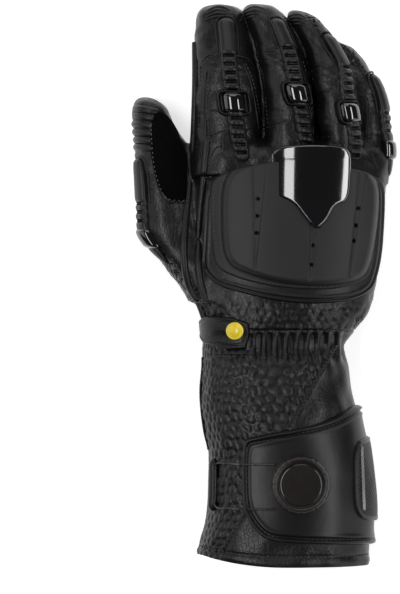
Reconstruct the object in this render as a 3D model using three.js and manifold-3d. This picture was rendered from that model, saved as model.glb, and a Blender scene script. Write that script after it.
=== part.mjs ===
// Motorcycle gauntlet for the right hand, lying palm down with its back up.
// Millimetres, +Z up, +Y toward the fingertips, +X toward the little finger.
// The wrist seam is at Y 0 while the pieces are made. The finished group is moved so that its
// origin is the middle of its box, on the surface that it rests on.
import * as THREE from 'three';
import { mergeVertices } from 'three/addons/utils/BufferGeometryUtils.js';
import Module from 'manifold-3d';

const wasm = await Module();
wasm.setup();

// Driving sizes of the leather
const handLength = 192; // wrist seam to the tip of the middle finger
const handWidth = 117; // unit of width for the hand, about its width at the knuckles
const handHeight = 46; // palm to back of hand behind the knuckles
const cuffLength = 137;
const cuffWidth = 97;
const cuffHeight = 58;
const leather = 2;
const seamGap = 0.3; // between the hand and the cuff, and under every piece that lies on another
const seamRidge = 2.4; // radius of the two rolled seams beside the index finger
const gatherDepth = 1.6;
const gatherLength = 14; // of the elastic stretch between the hand and the cuff
const hemLift = 6; // how much shorter the cuff is on the thumb side

// Driving sizes of the armour
const padThickness = 2.6;
const pipingWidth = 2.4;
const pipingRise = 0.9;
const flangeThickness = 1.5;
const shellRise = 5.5;
const fluteDepth = 1;
const ventDiameter = 1.8;
const plateRise = 1.6;
const plateLip = 7; // how far the plate reaches down in front of the shell
const spineWidth = 9.6;
const spineHeight = 3.6;
const notchLength = 1.5;
const notchWidth = 5.4;
const notchDepth = 1.5;
const capLength = 11.5;
const capWidth = 13;
const capRise = 2.1; // above the strip that the cap bridges
const saddleWidth = 20;
const saddleLength = 16;
const saddleBase = 1;
const saddleRim = 1.7;
const saddleRimWidth = 2.2;
const gripThickness = 1.2;

// Driving sizes of the closures
const strapThickness = 2.4;
const snapDiameter = 10.2;
const snapRise = 2.6;
const flapThickness = 2.4;
const badgeThickness = 1.6;
const badgeStripWidth = 2;
const badgeStripRise = 0.6;
const dialBaseDiameter = 33;
const dialBaseHeight = 4.2;
const dialKnobDiameter = 32;
const dialKnobHeight = 6.6;
const dialSides = 12;
const dialWindowDiameter = 25;
const dialWindowDepth = 1.6;
const dialHubDiameter = 9;
const dialHubHeight = 6;
const runningGap = 0.4; // between the parts of the dial that turn
const laceDiameter = 1.1;
const guideWidth = 5;
const guideRise = 3;

// How finely the leather and what lies on it is faceted
const handSides = 20;
const fingerSides = 10;
const cuffSides = 28;
const liningSides = 8;
const handSteps = 7;
const fingerSteps = 6;
const tipSteps = 3;
const gatherPoints = 3; // ring points for each facet where the cuff is gathered
const stripPitch = 9; // between the sections of a strip of armour
const laceSteps = 36;
const tipSquareness = 2.6;

// A table is a list of named columns and a row for each section or point.
function table(columns, rows) {
  return rows.map((row) => Object.fromEntries(columns.map((name, i) => [name, row[i]])));
}

// Smooth value of every column of a table where its first column is t.
function rowAt(rows, t) {
  const key = Object.keys(rows[0])[0];
  const last = rows.length - 1;
  const at = Math.min(Math.max(t, rows[0][key]), rows[last][key]);
  let i = 0;
  while (i < last - 1 && rows[i + 1][key] < at) i++;
  const span = rows[i + 1][key] - rows[i][key];
  const u = (at - rows[i][key]) / span;
  const result = {};
  for (const name of Object.keys(rows[0])) {
    const slope = (j) => {
      const a = rows[Math.max(j - 1, 0)];
      const b = rows[Math.min(j + 1, last)];
      return (b[name] - a[name]) / (b[key] - a[key]);
    };
    const rise = rows[i + 1][name] - rows[i][name];
    const a = slope(i) * span - rise;
    const b = rise - slope(i + 1) * span;
    result[name] = rows[i][name] + rise * u + u * (1 - u) * (a * (1 - u) + b * u);
  }
  return result;
}

// Sections of the hand and fingers. along is a share of handLength from the wrist seam, left, right,
// middle and half are shares of handWidth from the hand's middle line, the rest of handHeight.
const handTable = table(['along', 'left', 'right', 'top', 'base'], [
  [0.0, -0.405, 0.355, 1.05, -0.08],
  [0.043, -0.415, 0.41, 1.06, -0.1],
  [0.091, -0.445, 0.435, 1.04, -0.12],
  [0.146, -0.46, 0.462, 1.02, -0.14],
  [0.229, -0.47, 0.482, 1.0, -0.14],
  [0.32, -0.475, 0.497, 1.0, -0.14],
  [0.412, -0.475, 0.507, 0.99, -0.13],
  [0.503, -0.472, 0.515, 0.96, -0.1],
  [0.579, -0.467, 0.515, 0.9, -0.04],
]);
const handEnd = 0.579;
const handTip = 0.075;
const fingerColumns = ['along', 'middle', 'half', 'height', 'rise'];
const fingers = {
  index: {
    tip: 1.0,
    tipRound: 0.055,
    rows: table(fingerColumns, [
      [0.473, -0.295, 0.16, 0.5, 0.42],
      [0.573, -0.29, 0.166, 0.51, 0.385],
      [0.668, -0.289, 0.166, 0.51, 0.365],
      [0.75, -0.293, 0.162, 0.5, 0.35],
      [0.82, -0.301, 0.149, 0.46, 0.335],
      [0.878, -0.306, 0.143, 0.4, 0.32],
      [0.93, -0.316, 0.13, 0.345, 0.3],
      [1.0, -0.326, 0.115, 0.3, 0.27],
    ]),
  },
  middle: {
    tip: 1.0,
    tipRound: 0.055,
    rows: table(fingerColumns, [
      [0.473, 0.015, 0.13, 0.56, 0.42],
      [0.573, 0.025, 0.125, 0.58, 0.385],
      [0.668, 0.024, 0.121, 0.59, 0.36],
      [0.75, 0.01, 0.117, 0.58, 0.35],
      [0.82, -0.012, 0.117, 0.54, 0.335],
      [0.869, -0.035, 0.113, 0.48, 0.325],
      [0.921, -0.07, 0.108, 0.42, 0.31],
      [1.0, -0.135, 0.1, 0.35, 0.28],
    ]),
  },
  ring: {
    tip: 0.979,
    tipRound: 0.06,
    rows: table(fingerColumns, [
      [0.473, 0.26, 0.115, 0.52, 0.41],
      [0.573, 0.277, 0.101, 0.56, 0.36],
      [0.631, 0.264, 0.101, 0.58, 0.34],
      [0.701, 0.249, 0.099, 0.59, 0.32],
      [0.75, 0.235, 0.098, 0.57, 0.31],
      [0.808, 0.216, 0.095, 0.53, 0.3],
      [0.86, 0.182, 0.091, 0.46, 0.295],
      [0.902, 0.148, 0.09, 0.4, 0.29],
      [0.979, 0.06, 0.075, 0.32, 0.26],
    ]),
  },
  little: {
    tip: 0.872,
    tipRound: 0.055,
    rows: table(fingerColumns, [
      [0.457, 0.405, 0.105, 0.36, 0.34],
      [0.536, 0.422, 0.102, 0.32, 0.315],
      [0.607, 0.42, 0.098, 0.3, 0.295],
      [0.686, 0.409, 0.096, 0.285, 0.28],
      [0.75, 0.381, 0.092, 0.275, 0.27],
      [0.805, 0.342, 0.082, 0.265, 0.26],
      [0.872, 0.29, 0.068, 0.25, 0.245],
    ]),
  },
  thumb: {
    tip: 0.713,
    tipRound: 0.06,
    rows: table(fingerColumns, [
      [0.091, -0.35, 0.13, 0.44, 0.4],
      [0.183, -0.445, 0.142, 0.44, 0.4],
      [0.244, -0.52, 0.15, 0.43, 0.39],
      [0.305, -0.575, 0.148, 0.42, 0.38],
      [0.381, -0.59, 0.142, 0.4, 0.37],
      [0.457, -0.6, 0.14, 0.39, 0.36],
      [0.53, -0.615, 0.134, 0.37, 0.345],
      [0.585, -0.634, 0.118, 0.345, 0.325],
      [0.64, -0.664, 0.1, 0.31, 0.3],
      [0.713, -0.695, 0.08, 0.28, 0.265],
    ]),
  },
};

// Sections of the cuff, along as a share of cuffLength from the wrist seam toward the hem, left and
// right as shares of cuffWidth, top and base of cuffHeight.
const cuffTable = table(['along', 'left', 'right', 'top', 'base'], [
  [0.0, -0.4885, 0.428, 0.833, -0.0634],
  [0.026, -0.489, 0.4, 0.81, -0.07],
  [0.064, -0.498, 0.362, 0.8, -0.075],
  [0.1, -0.5, 0.366, 0.82, -0.08],
  [0.154, -0.5, 0.386, 0.86, -0.09],
  [0.256, -0.512, 0.404, 0.9, -0.1],
  [0.342, -0.506, 0.434, 0.93, -0.1],
  [0.436, -0.488, 0.46, 0.955, -0.1],
  [0.513, -0.464, 0.48, 0.97, -0.1],
  [0.641, -0.464, 0.502, 0.99, -0.1],
  [0.748, -0.47, 0.514, 1.0, -0.1],
  [0.846, -0.488, 0.512, 1.0, -0.1],
  [0.919, -0.512, 0.51, 0.995, -0.1],
  [1.0, -0.53, 0.506, 0.985, -0.1],
]);
const leatherSquareness = 2.25;

// A solid from a closed geometry whose faces share vertices.
function solid(geometry) {
  const bare = geometry.clone();
  bare.deleteAttribute('normal');
  bare.deleteAttribute('uv');
  const merged = mergeVertices(bare, 1e-4);
  return new wasm.Manifold(new wasm.Mesh({
    numProp: 3,
    vertProperties: merged.attributes.position.array,
    triVerts: new Uint32Array(merged.index.array),
  }));
}

// Closed skin over rings of points that follow one another, each end closed by a fan.
function loft(rings) {
  const sides = rings[0].length;
  const positions = [];
  const faces = [];
  for (const ring of rings) {
    for (const point of ring) positions.push(point.x, point.y, point.z);
  }
  for (let i = 0; i < rings.length - 1; i++) {
    for (let k = 0; k < sides; k++) {
      const a = i * sides + k;
      const b = i * sides + ((k + 1) % sides);
      faces.push(a, a + sides, b, b, a + sides, b + sides);
    }
  }
  const endFan = (ring, first, turned) => {
    const hub = positions.length / 3;
    const middle = new THREE.Vector3();
    for (const point of ring) middle.add(point);
    middle.divideScalar(sides);
    positions.push(middle.x, middle.y, middle.z);
    for (let k = 0; k < sides; k++) {
      const a = first + k;
      const b = first + ((k + 1) % sides);
      if (turned) faces.push(hub, b, a);
      else faces.push(hub, a, b);
    }
  };
  endFan(rings[0], 0, false);
  endFan(rings[rings.length - 1], (rings.length - 1) * sides, true);
  const geometry = new THREE.BufferGeometry();
  geometry.setAttribute('position', new THREE.Float32BufferAttribute(positions, 3));
  geometry.setIndex(faces);
  return geometry;
}

// One section of a leather tube in the plane of constant Y: its middle, half sizes and outline.
// grow moves its outline outward, and it is flat where it would pass below the surface.
function sectionRing(section, y, sides, grow, shrink = 1) {
  const ring = [];
  const power = 2 / leatherSquareness;
  for (let k = 0; k < sides; k++) {
    const turn = (2 * Math.PI * (k + 0.5)) / sides;
    const c = Math.cos(turn);
    const s = Math.sin(turn);
    const wide = (section.halfWidth + grow) * shrink;
    const high = (section.halfHeight + grow) * shrink;
    const x = section.x + Math.sign(c) * wide * Math.abs(c) ** power;
    const z = section.z + Math.sign(s) * high * Math.abs(s) ** power;
    ring.push(new THREE.Vector3(x, y, Math.max(z, -grow)));
  }
  return ring;
}

function edgeSection(row, width, height) {
  return {
    x: ((row.left + row.right) / 2) * width,
    halfWidth: ((row.right - row.left) / 2) * width,
    z: ((row.top + row.base) / 2) * height,
    halfHeight: ((row.top - row.base) / 2) * height,
  };
}

function handSection(y) {
  return edgeSection(rowAt(handTable, y / handLength), handWidth, handHeight);
}

function cuffSection(y) {
  return edgeSection(rowAt(cuffTable, -y / cuffLength), cuffWidth, cuffHeight);
}

function fingerSection(finger, y) {
  const row = rowAt(finger.rows, y / handLength);
  return {
    x: row.middle * handWidth,
    halfWidth: row.half * handWidth,
    z: row.height * handHeight,
    halfHeight: row.rise * handHeight,
  };
}

// Tube of sections from start to end, whose far end is rounded over the length round.
function tube(sectionOf, start, end, round, steps, sides, grow) {
  const rings = [];
  const tip = end + grow;
  const shoulder = end - round;
  for (let i = 0; i <= steps; i++) {
    const y = start + ((shoulder - start) * i) / steps;
    rings.push(sectionRing(sectionOf(y), y, sides, grow));
  }
  for (let i = 1; i <= tipSteps; i++) {
    const share = Math.sin((i / tipSteps) * 0.47 * Math.PI);
    const y = shoulder + (tip - shoulder) * share;
    const shrink = (1 - share ** tipSquareness) ** (1 / tipSquareness);
    rings.push(sectionRing(sectionOf(y), y, sides, grow, shrink));
  }
  return solid(loft(rings));
}

function fingerTube(finger, grow, sides, steps) {
  const start = finger.rows[0].along * handLength;
  const end = finger.tip * handLength;
  return tube((y) => fingerSection(finger, y), start, end, finger.tipRound * handLength, steps, sides, grow);
}

// Rolled seams beside the index finger, down to the wrist. place is a share of handWidth, height a
// share of handHeight.
const seamColumns = ['along', 'place', 'height'];
const rolledSeams = [
  table(seamColumns, [
    [0.02, -0.4, 0.62], [0.1, -0.44, 0.62], [0.2, -0.462, 0.62], [0.4, -0.468, 0.6], [0.55, -0.462, 0.56],
    [0.7, -0.45, 0.56], [0.86, -0.435, 0.48],
  ]),
  table(seamColumns, [
    [0.04, -0.37, 0.86], [0.12, -0.405, 0.84], [0.25, -0.43, 0.8], [0.4, -0.435, 0.77], [0.52, -0.432, 0.74],
  ]),
];

function rolledSeam(rows, grow) {
  const from = rows[0].along;
  const to = rows[rows.length - 1].along;
  const steps = 8;
  const rings = [];
  for (let i = 0; i <= steps; i++) {
    const row = rowAt(rows, from + ((to - from) * i) / steps);
    const section = {
      x: row.place * handWidth,
      z: row.height * handHeight,
      halfWidth: seamRidge,
      halfHeight: seamRidge,
    };
    rings.push(sectionRing(section, row.along * handLength, 6, grow));
  }
  return solid(loft(rings));
}

// The hand with its fingers as one filled body, its outline moved outward by grow.
function filledHand(grow, sides, smallSides, steps, smallSteps) {
  const start = seamGap / 2 - Math.abs(grow);
  let body = tube(handSection, start, handEnd * handLength, handTip * handLength, steps, sides, grow);
  for (const finger of Object.values(fingers)) body = body.add(fingerTube(finger, grow, smallSides, smallSteps));
  if (grow < 0) return body;
  for (const rows of rolledSeams) body = body.add(rolledSeam(rows, grow));
  return body;
}

// Stations of the cuff as shares of cuffLength. The gathered stretch is above the first of them.
const cuffStations = [0, 0.05, 0.1022, 0.18, 0.27, 0.36, 0.45, 0.56, 0.68, 0.8, 0.91, 1];
const liningStations = [0, 0.05, 0.1022, 0.27, 0.45, 0.66, 0.85, 1];

// The cuff from one Y down to another as one filled body, its outline moved outward by grow.
function filledCuff(grow, sides, from, to, stations) {
  const reach = Math.abs(grow);
  const inside = stations.map((share) => -share * cuffLength).filter((y) => y < from - 1 && y > to + 1);
  const rings = [from, ...inside, to].map((y) => sectionRing(cuffSection(y), y, sides, grow));
  rings[0].forEach((point) => { point.y += reach; });
  rings[rings.length - 1].forEach((point) => { point.y -= reach; });
  for (const ring of rings) {
    for (const point of ring) {
      const down = Math.max(0, -point.y / cuffLength - 0.8) / 0.2;
      const side = Math.min(Math.max(-point.x / (cuffWidth / 2), 0), 1);
      point.y += hemLift * down * side ** 2;
    }
  }
  return solid(loft(rings.reverse()));
}

// The gathered stretch: every second point of its rings is drawn in on the back of the wrist.
function filledGathers() {
  const from = -seamGap / 2;
  const to = seamGap / 2 - gatherLength;
  const draw = [0, 1, 1, 0];
  const rings = draw.map((share, i) => {
    const y = from + ((to - from) * i) / (draw.length - 1);
    const coarse = sectionRing(cuffSection(y), y, cuffSides, 0);
    const fine = [];
    let folded = 0;
    coarse.forEach((point, k) => {
      const turn = (k + 0.5) / cuffSides;
      const onBack = turn > 0.06 && turn < 0.33;
      fine.push(point);
      if (!onBack) return;
      for (let j = 1; j < gatherPoints; j++) {
        const between = point.clone().lerp(coarse[(k + 1) % cuffSides], j / gatherPoints);
        fine.push(between);
      }
    });
    for (let k = 1; k < fine.length; k++) {
      const gathered = fine[k].z > cuffHeight * 0.55 && fine[k].x > gathersFrom * handWidth;
      if (gathered && folded++ % 2 === 0) fine[k].z -= gatherDepth * share;
    }
    return fine;
  });
  return solid(loft(rings.reverse()));
}

// The cuff and its gathered stretch, filled and moved outward by grow.
function cuffBody(grow) {
  return filledCuff(grow, cuffSides, -seamGap / 2, -cuffLength, cuffStations);
}

const grownBodies = new Map();
// The hand and the cuff together, filled and moved outward by grow. Pieces that lie on the leather
// are cut by it.
function body(grow) {
  if (!grownBodies.has(grow)) {
    grownBodies.set(grow, filledHand(grow, handSides, fingerSides, handSteps, fingerSteps).add(cuffBody(grow)));
  }
  return grownBodies.get(grow);
}

// Every leather tube's outline at one Y, for finding the surface.
function outlinesAt(y) {
  const outlines = [];
  if (y < 0) outlines.push(sectionRing(cuffSection(y), y, 72, 0));
  else {
    if (y < handEnd * handLength) {
      outlines.push(sectionRing(handSection(y), y, 72, 0));
    }
    for (const finger of Object.values(fingers)) {
      const inside = y > finger.rows[0].along * handLength && y < finger.tip * handLength;
      if (inside) outlines.push(sectionRing(fingerSection(finger, y), y, 48, 0));
    }
  }
  return outlines;
}

// Outermost point of the leather at one Y, seen along a direction that leans by facing degrees from
// straight up toward the little finger. beside is the distance across that view.
function leatherPoint(y, facing, beside) {
  const f = THREE.MathUtils.degToRad(facing);
  const out = { x: Math.sin(f), z: Math.cos(f) };
  const across = { x: Math.cos(f), z: -Math.sin(f) };
  let best = -Infinity;
  for (const ring of outlinesAt(y)) {
    for (let k = 0; k < ring.length; k++) {
      const a = ring[k];
      const b = ring[(k + 1) % ring.length];
      const ua = a.x * across.x + a.z * across.z;
      const ub = b.x * across.x + b.z * across.z;
      if ((ua - beside) * (ub - beside) > 0 || ua === ub) continue;
      const t = (beside - ua) / (ub - ua);
      const x = a.x + (b.x - a.x) * t;
      const z = a.z + (b.z - a.z) * t;
      best = Math.max(best, x * out.x + z * out.z);
    }
  }
  return new THREE.Vector3(across.x * beside + out.x * best, y, across.z * beside + out.z * best);
}

// Height of the leather's back at a place in plan.
function backHeight(x, y) {
  return leatherPoint(y, 0, x).z;
}

// Point in plan from shares of the hand's length and width.
function onHand(across, along) {
  return new THREE.Vector2(across * handWidth, along * handLength);
}

// Point in plan from shares of the cuff's width and length.
function onCuff(across, along) {
  return new THREE.Vector2(across * cuffWidth, -along * cuffLength);
}

// Outline with its corners rounded by radius.
function roundedShape(points, radius) {
  const shape = new THREE.Shape();
  const count = points.length;
  for (let i = 0; i < count; i++) {
    const here = points[i];
    const before = points[(i + count - 1) % count];
    const after = points[(i + 1) % count];
    const cut = (other) => {
      const away = other.clone().sub(here);
      const reach = Math.min(radius, away.length() * 0.45);
      return here.clone().add(away.setLength(reach));
    };
    const a = cut(before);
    const b = cut(after);
    if (i === 0) shape.moveTo(a.x, a.y);
    else shape.lineTo(a.x, a.y);
    shape.quadraticCurveTo(here.x, here.y, b.x, b.y);
  }
  shape.closePath();
  return shape;
}

// Straight-sided solid over an outline in plan, from the height low up to high.
function prism(points, radius, low, high) {
  const geometry = new THREE.ExtrudeGeometry(roundedShape(points, radius), {
    depth: high - low,
    bevelEnabled: false,
    curveSegments: 2,
  });
  geometry.translate(0, 0, low);
  return solid(geometry);
}

// Outline moved inward by a distance, each point along the bisector of its corner.
function inset(points, distance) {
  const area = THREE.ShapeUtils.area(points);
  const inward = Math.sign(area);
  return points.map((here, i) => {
    const before = points[(i + points.length - 1) % points.length];
    const after = points[(i + 1) % points.length];
    const a = here.clone().sub(before).normalize();
    const b = after.clone().sub(here).normalize();
    const normal = new THREE.Vector2(-(a.y + b.y), a.x + b.x).normalize();
    const corner = Math.max(normal.dot(new THREE.Vector2(-a.y, a.x)), 0.4);
    return here.clone().add(normal.multiplyScalar((inward * distance) / corner));
  });
}

// A layer of the given thickness over a filled body, kept only over an outline and above low.
function layer(bodyAt, points, radius, under, thickness, low) {
  const high = handHeight + cuffHeight;
  const block = prism(points, radius, low, high);
  return bodyAt(under + thickness).subtract(bodyAt(under)).intersect(block);
}

// A layer with a raised rolled edge.
function pipedLayer(bodyAt, points, radius, under, thickness, low) {
  const high = handHeight + cuffHeight;
  const sheet = layer(bodyAt, points, radius, under, thickness, low);
  const rim = prism(points, radius, low, high).subtract(prism(inset(points, pipingWidth), radius, low, high));
  const edge = bodyAt(under + thickness + pipingRise).subtract(bodyAt(under + thickness / 2)).intersect(rim);
  return sheet.add(edge);
}

// Solid over a star-shaped outline in plan: rings shrink to its middle and a function of place and
// ring gives the height of the top.
function crowned(points, middle, rings, topOf, low) {
  const loops = [points.map((p) => new THREE.Vector3(p.x, p.y, low))];
  for (const ring of rings) {
    loops.push(points.map((p) => {
      const at = middle.clone().lerp(p, ring.share);
      return new THREE.Vector3(at.x, at.y, topOf(at.x, at.y, ring));
    }));
  }
  if (THREE.ShapeUtils.area(points) > 0) loops.forEach((loop) => loop.reverse());
  return solid(loft(loops));
}

// Strips of armour on the fingers. place gives the strip's side of its finger: beside is a share of
// the finger's half width, along a share of handLength.
const spineColumns = ['along', 'beside', 'width'];
const spines = {
  index: {
    finger: fingers.index,
    facing: 0,
    rows: table(spineColumns, [
      [0.51, 0.5, 0.6],
      [0.53, 0.47, 0.9],
      [0.59, 0.33, 1.0],
      [0.69, 0.2, 1.0],
      [0.76, 0.15, 1.0],
      [0.83, 0.13, 0.95],
      [0.9, 0.15, 0.95],
      [0.94, 0.17, 0.9],
      [0.952, 0.17, 0.55],
    ]),
    cap: 0.689,
    saddle: 1,
    notches: [0.538, 0.562, 0.588, 0.616, 0.643, 0.727, 0.754, 0.781, 0.808, 0.834],
  },
  middle: {
    finger: fingers.middle,
    facing: 0,
    rows: table(spineColumns, [
      [0.556, 0.62, 0.75],
      [0.575, 0.6, 1.0],
      [0.62, 0.5, 1.0],
      [0.68, 0.42, 1.0],
      [0.72, 0.33, 1.0],
      [0.78, 0.33, 1.0],
      [0.855, 0.33, 0.95],
      [0.92, 0.36, 0.9],
      [0.94, 0.38, 0.85],
      [0.95, 0.39, 0.5],
    ]),
    cap: 0.716,
    saddle: 0.88,
    notches: [0.565, 0.592, 0.62, 0.648, 0.675, 0.755, 0.782, 0.808, 0.832, 0.856],
  },
  ring: {
    finger: fingers.ring,
    facing: 8,
    rows: table(spineColumns, [
      [0.515, 0.5, 0.6],
      [0.53, 0.48, 0.9],
      [0.6, 0.5, 1.0],
      [0.65, 0.46, 1.0],
      [0.7, 0.44, 1.0],
      [0.75, 0.52, 1.0],
      [0.8, 0.62, 1.0],
      [0.86, 0.55, 0.9],
      [0.893, 0.46, 0.8],
      [0.903, 0.44, 0.5],
    ]),
    cap: 0.659,
    saddle: 0.8,
    notches: [0.53, 0.556, 0.584, 0.612, 0.695, 0.722, 0.749, 0.775, 0.8],
  },
  little: {
    finger: fingers.little,
    facing: 58,
    rows: table(spineColumns, [
      [0.466, 0.15, 0.35],
      [0.5, 0.1, 0.8],
      [0.56, 0.0, 1.0],
      [0.66, -0.05, 1.0],
      [0.72, 0.0, 0.95],
      [0.77, 0.0, 0.85],
      [0.785, 0.0, 0.5],
    ]),
    cap: 0.55,
    notches: [0.61, 0.636, 0.663],
  },
  thumb: {
    finger: fingers.thumb,
    facing: -56,
    rows: table(spineColumns, [
      [0.203, 0.1, 0.3],
      [0.24, 0.05, 0.8],
      [0.3, 0.0, 1.0],
      [0.4, 0.0, 1.0],
      [0.46, 0.0, 0.95],
      [0.512, 0.0, 0.8],
      [0.525, 0.0, 0.45],
    ]),
    cap: 0.278,
    notches: [0.333, 0.36, 0.386],
  },
};

// Cross-section frame of a strip at one Y: the leather under its edges and middle, and the normals.
function spineFrame(spine, y, half) {
  const row = rowAt(spine.rows, y / handLength);
  const section = fingerSection(spine.finger, y);
  const f = THREE.MathUtils.degToRad(spine.facing);
  const reach = Math.hypot(section.halfWidth * Math.cos(f), section.halfHeight * Math.sin(f));
  const centre = section.x * Math.cos(f) - section.z * Math.sin(f) + row.beside * reach;
  const feel = spineWidth * 0.2;
  const a = leatherPoint(y, spine.facing, centre - feel);
  const b = leatherPoint(y, spine.facing, centre + feel);
  const tilt = Math.atan2(a.z - b.z, b.x - a.x);
  const facing = THREE.MathUtils.radToDeg(tilt);
  const middle = a.clone().add(b).multiplyScalar(0.5);
  const beside = middle.x * Math.cos(tilt) - middle.z * Math.sin(tilt);
  const points = [-half, 0, half].map((away) => leatherPoint(y, facing, beside + away));
  const outward = (from, to) => new THREE.Vector3(from.z - to.z, 0, to.x - from.x).normalize();
  const normals = [
    outward(points[0], points[1]), outward(points[0], points[2]), outward(points[1], points[2]),
  ];
  return { points, normals, across: points[2].clone().sub(points[0]).normalize() };
}

// Bar that follows a strip from one Y to another. profile gives its half width and height there, and
// a plain bar has four corners in place of bevels.
function barAlong(spine, from, to, steps, profile, sink, plain = false) {
  const rings = [];
  for (let i = 0; i <= steps; i++) {
    const share = i / steps;
    const y = from + (to - from) * share;
    const { half, height } = profile(share, y);
    const { points, normals, across } = spineFrame(spine, y, half);
    const lift = (side, h, inwardBy) => points[side].clone()
      .addScaledVector(normals[side], h)
      .addScaledVector(across, inwardBy);
    if (plain) {
      rings.push([lift(2, -sink, 0), lift(2, height, 0), lift(0, height, 0), lift(0, -sink, 0)]);
      continue;
    }
    const bevel = Math.min(half * 0.3, height * 0.6);
    rings.push([
      lift(2, -sink, 0),
      lift(2, height * 0.55, 0),
      lift(2, height, -bevel),
      lift(1, height, 0),
      lift(0, height, bevel),
      lift(0, height * 0.55, 0),
      lift(0, -sink, 0),
      lift(1, -sink, 0),
    ]);
  }
  return solid(loft(rings));
}

const underSkin = 3; // how far a bar reaches into the leather before it is cut to it

function saddleSolid(spine, grow) {
  const middle = spine.cap * handLength;
  const half = saddleLength / 2 + grow;
  const wide = (saddleWidth / 2) * spine.saddle + grow;
  const rounded = (share) => 1 - 0.22 * Math.abs(2 * share - 1) ** 4;
  const slab = barAlong(spine, middle - half, middle + half, 6, (share) => ({
    half: wide * rounded(share),
    height: saddleRim + grow,
  }), underSkin);
  const inner = saddleLength / 2 - saddleRimWidth - grow;
  const pocket = barAlong(spine, middle - inner, middle + inner, 4, (share) => ({
    half: ((saddleWidth / 2) * spine.saddle - saddleRimWidth - grow) * rounded(share),
    height: saddleRim * 3,
  }), -(saddleBase + grow));
  return slab.subtract(pocket);
}

function spineStrip(spine, grow) {
  const from = spine.rows[0].along * handLength - grow;
  const to = spine.rows[spine.rows.length - 1].along * handLength + grow;
  const steps = Math.round((to - from) / stripPitch);
  return barAlong(spine, from, to, steps, (share, y) => {
    const row = rowAt(spine.rows, y / handLength);
    return { half: (row.width * spineWidth) / 2 + grow, height: spineHeight * (0.35 + 0.65 * row.width) + grow };
  }, underSkin);
}

function notchCutter(spine, along) {
  const y = along * handLength;
  return barAlong(spine, y - notchLength / 2, y + notchLength / 2, 1, () => ({
    half: notchWidth / 2,
    height: spineHeight * 2,
  }), -(spineHeight - notchDepth), true);
}

function spineSolid(spine, seat) {
  let strip = spineStrip(spine, 0).subtract(body(seamGap));
  if (seat) strip = strip.subtract(seat);
  for (const along of spine.notches) strip = strip.subtract(notchCutter(spine, along));
  return strip;
}

function capSolid(spine) {
  const middle = spine.cap * handLength;
  const cap = barAlong(spine, middle - capLength / 2, middle + capLength / 2, 4, (share) => {
    const swell = Math.sqrt(1 - 0.8 * (2 * share - 1) ** 4);
    return { half: (capWidth / 2) * (0.8 + 0.2 * swell), height: spineHeight + capRise * swell };
  }, -(saddleBase + seamGap));
  return cap.subtract(spineStrip(spine, seamGap));
}

// Outlines of the armour on the back of the hand
const padOutline = [
  onHand(-0.39, 0.46), onHand(-0.4, 0.3), onHand(-0.415, 0.152), onHand(-0.175, 0.103),
  onHand(0.105, 0.075), onHand(0.41, 0.095), onHand(0.468, 0.2), onHand(0.485, 0.34),
  onHand(0.488, 0.45), onHand(0.42, 0.475), onHand(-0.2, 0.48),
];
const shellOutline = [
  onHand(-0.36, 0.463), onHand(-0.378, 0.42), onHand(-0.377, 0.33), onHand(-0.365, 0.245),
  onHand(-0.345, 0.19), onHand(-0.27, 0.165), onHand(-0.175, 0.146), onHand(-0.04, 0.13),
  onHand(0.105, 0.122), onHand(0.27, 0.125), onHand(0.4, 0.15), onHand(0.435, 0.18),
  onHand(0.462, 0.27), onHand(0.475, 0.36), onHand(0.478, 0.43), onHand(0.45, 0.468),
  onHand(0.36, 0.485), onHand(0.2, 0.5), onHand(0.0, 0.513), onHand(-0.12, 0.505),
  onHand(-0.24, 0.49),
];
const shellMiddle = onHand(0.06, 0.32);
const plateOutline = [
  onHand(-0.07, 0.552), onHand(-0.07, 0.48), onHand(-0.068, 0.408), onHand(-0.045, 0.402),
  onHand(0.03, 0.387), onHand(0.08, 0.347), onHand(0.118, 0.318), onHand(0.152, 0.303),
  onHand(0.185, 0.318), onHand(0.21, 0.335), onHand(0.245, 0.378), onHand(0.315, 0.388),
  onHand(0.325, 0.48), onHand(0.325, 0.55), onHand(0.22, 0.56), onHand(0.1, 0.562),
];
const plateMiddle = onHand(0.13, 0.44);

const shellRings = [
  { share: 1, rise: 0 }, { share: 0.925, rise: 0 }, { share: 0.9, rise: 0.45 }, { share: 0.86, rise: 0.85 },
  { share: 0.76, rise: 1 }, { share: 0.5, rise: 1 }, { share: 0.25, rise: 1 },
];

// Height of the top of the shell over the leather's back.
function shellTop(x, y, rise) {
  const under = backHeight(x, Math.min(y, handEnd * handLength * 0.9));
  return under + padThickness + 2 * seamGap + flangeThickness + shellRise * rise;
}

// The flutes run from a wide end at the knuckles to a narrow foot near the wrist.
const flutePoint = 0.15; // width of the foot as a share of the wide end
const flutes = [
  { top: onHand(-0.13, 0.47), foot: onHand(-0.153, 0.18), width: 0.068, vents: [0.395, 0.345, 0.293] },
  { top: onHand(0.145, 0.296), foot: onHand(0.118, 0.146), width: 0.05, vents: [0.256, 0.198] },
  { top: onHand(0.38, 0.46), foot: onHand(0.312, 0.14), width: 0.04, vents: [0.37, 0.317, 0.27] },
];

function fluteOutline(flute) {
  const half = (flute.width * handWidth) / 2;
  const point = flutePoint * half;
  return [
    new THREE.Vector2(flute.top.x - half, flute.top.y), new THREE.Vector2(flute.foot.x - point, flute.foot.y),
    new THREE.Vector2(flute.foot.x + point, flute.foot.y), new THREE.Vector2(flute.top.x + half, flute.top.y),
  ];
}

function ventCutter(flute, along) {
  const share = (flute.top.y - along * handLength) / (flute.top.y - flute.foot.y);
  const at = flute.top.clone().lerp(flute.foot, share);
  const geometry = new THREE.CylinderGeometry(ventDiameter / 2, ventDiameter / 2, shellRise * 1.4, 6);
  geometry.rotateX(Math.PI / 2);
  geometry.translate(at.x, at.y, shellTop(at.x, at.y, 1));
  return solid(geometry);
}

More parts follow.
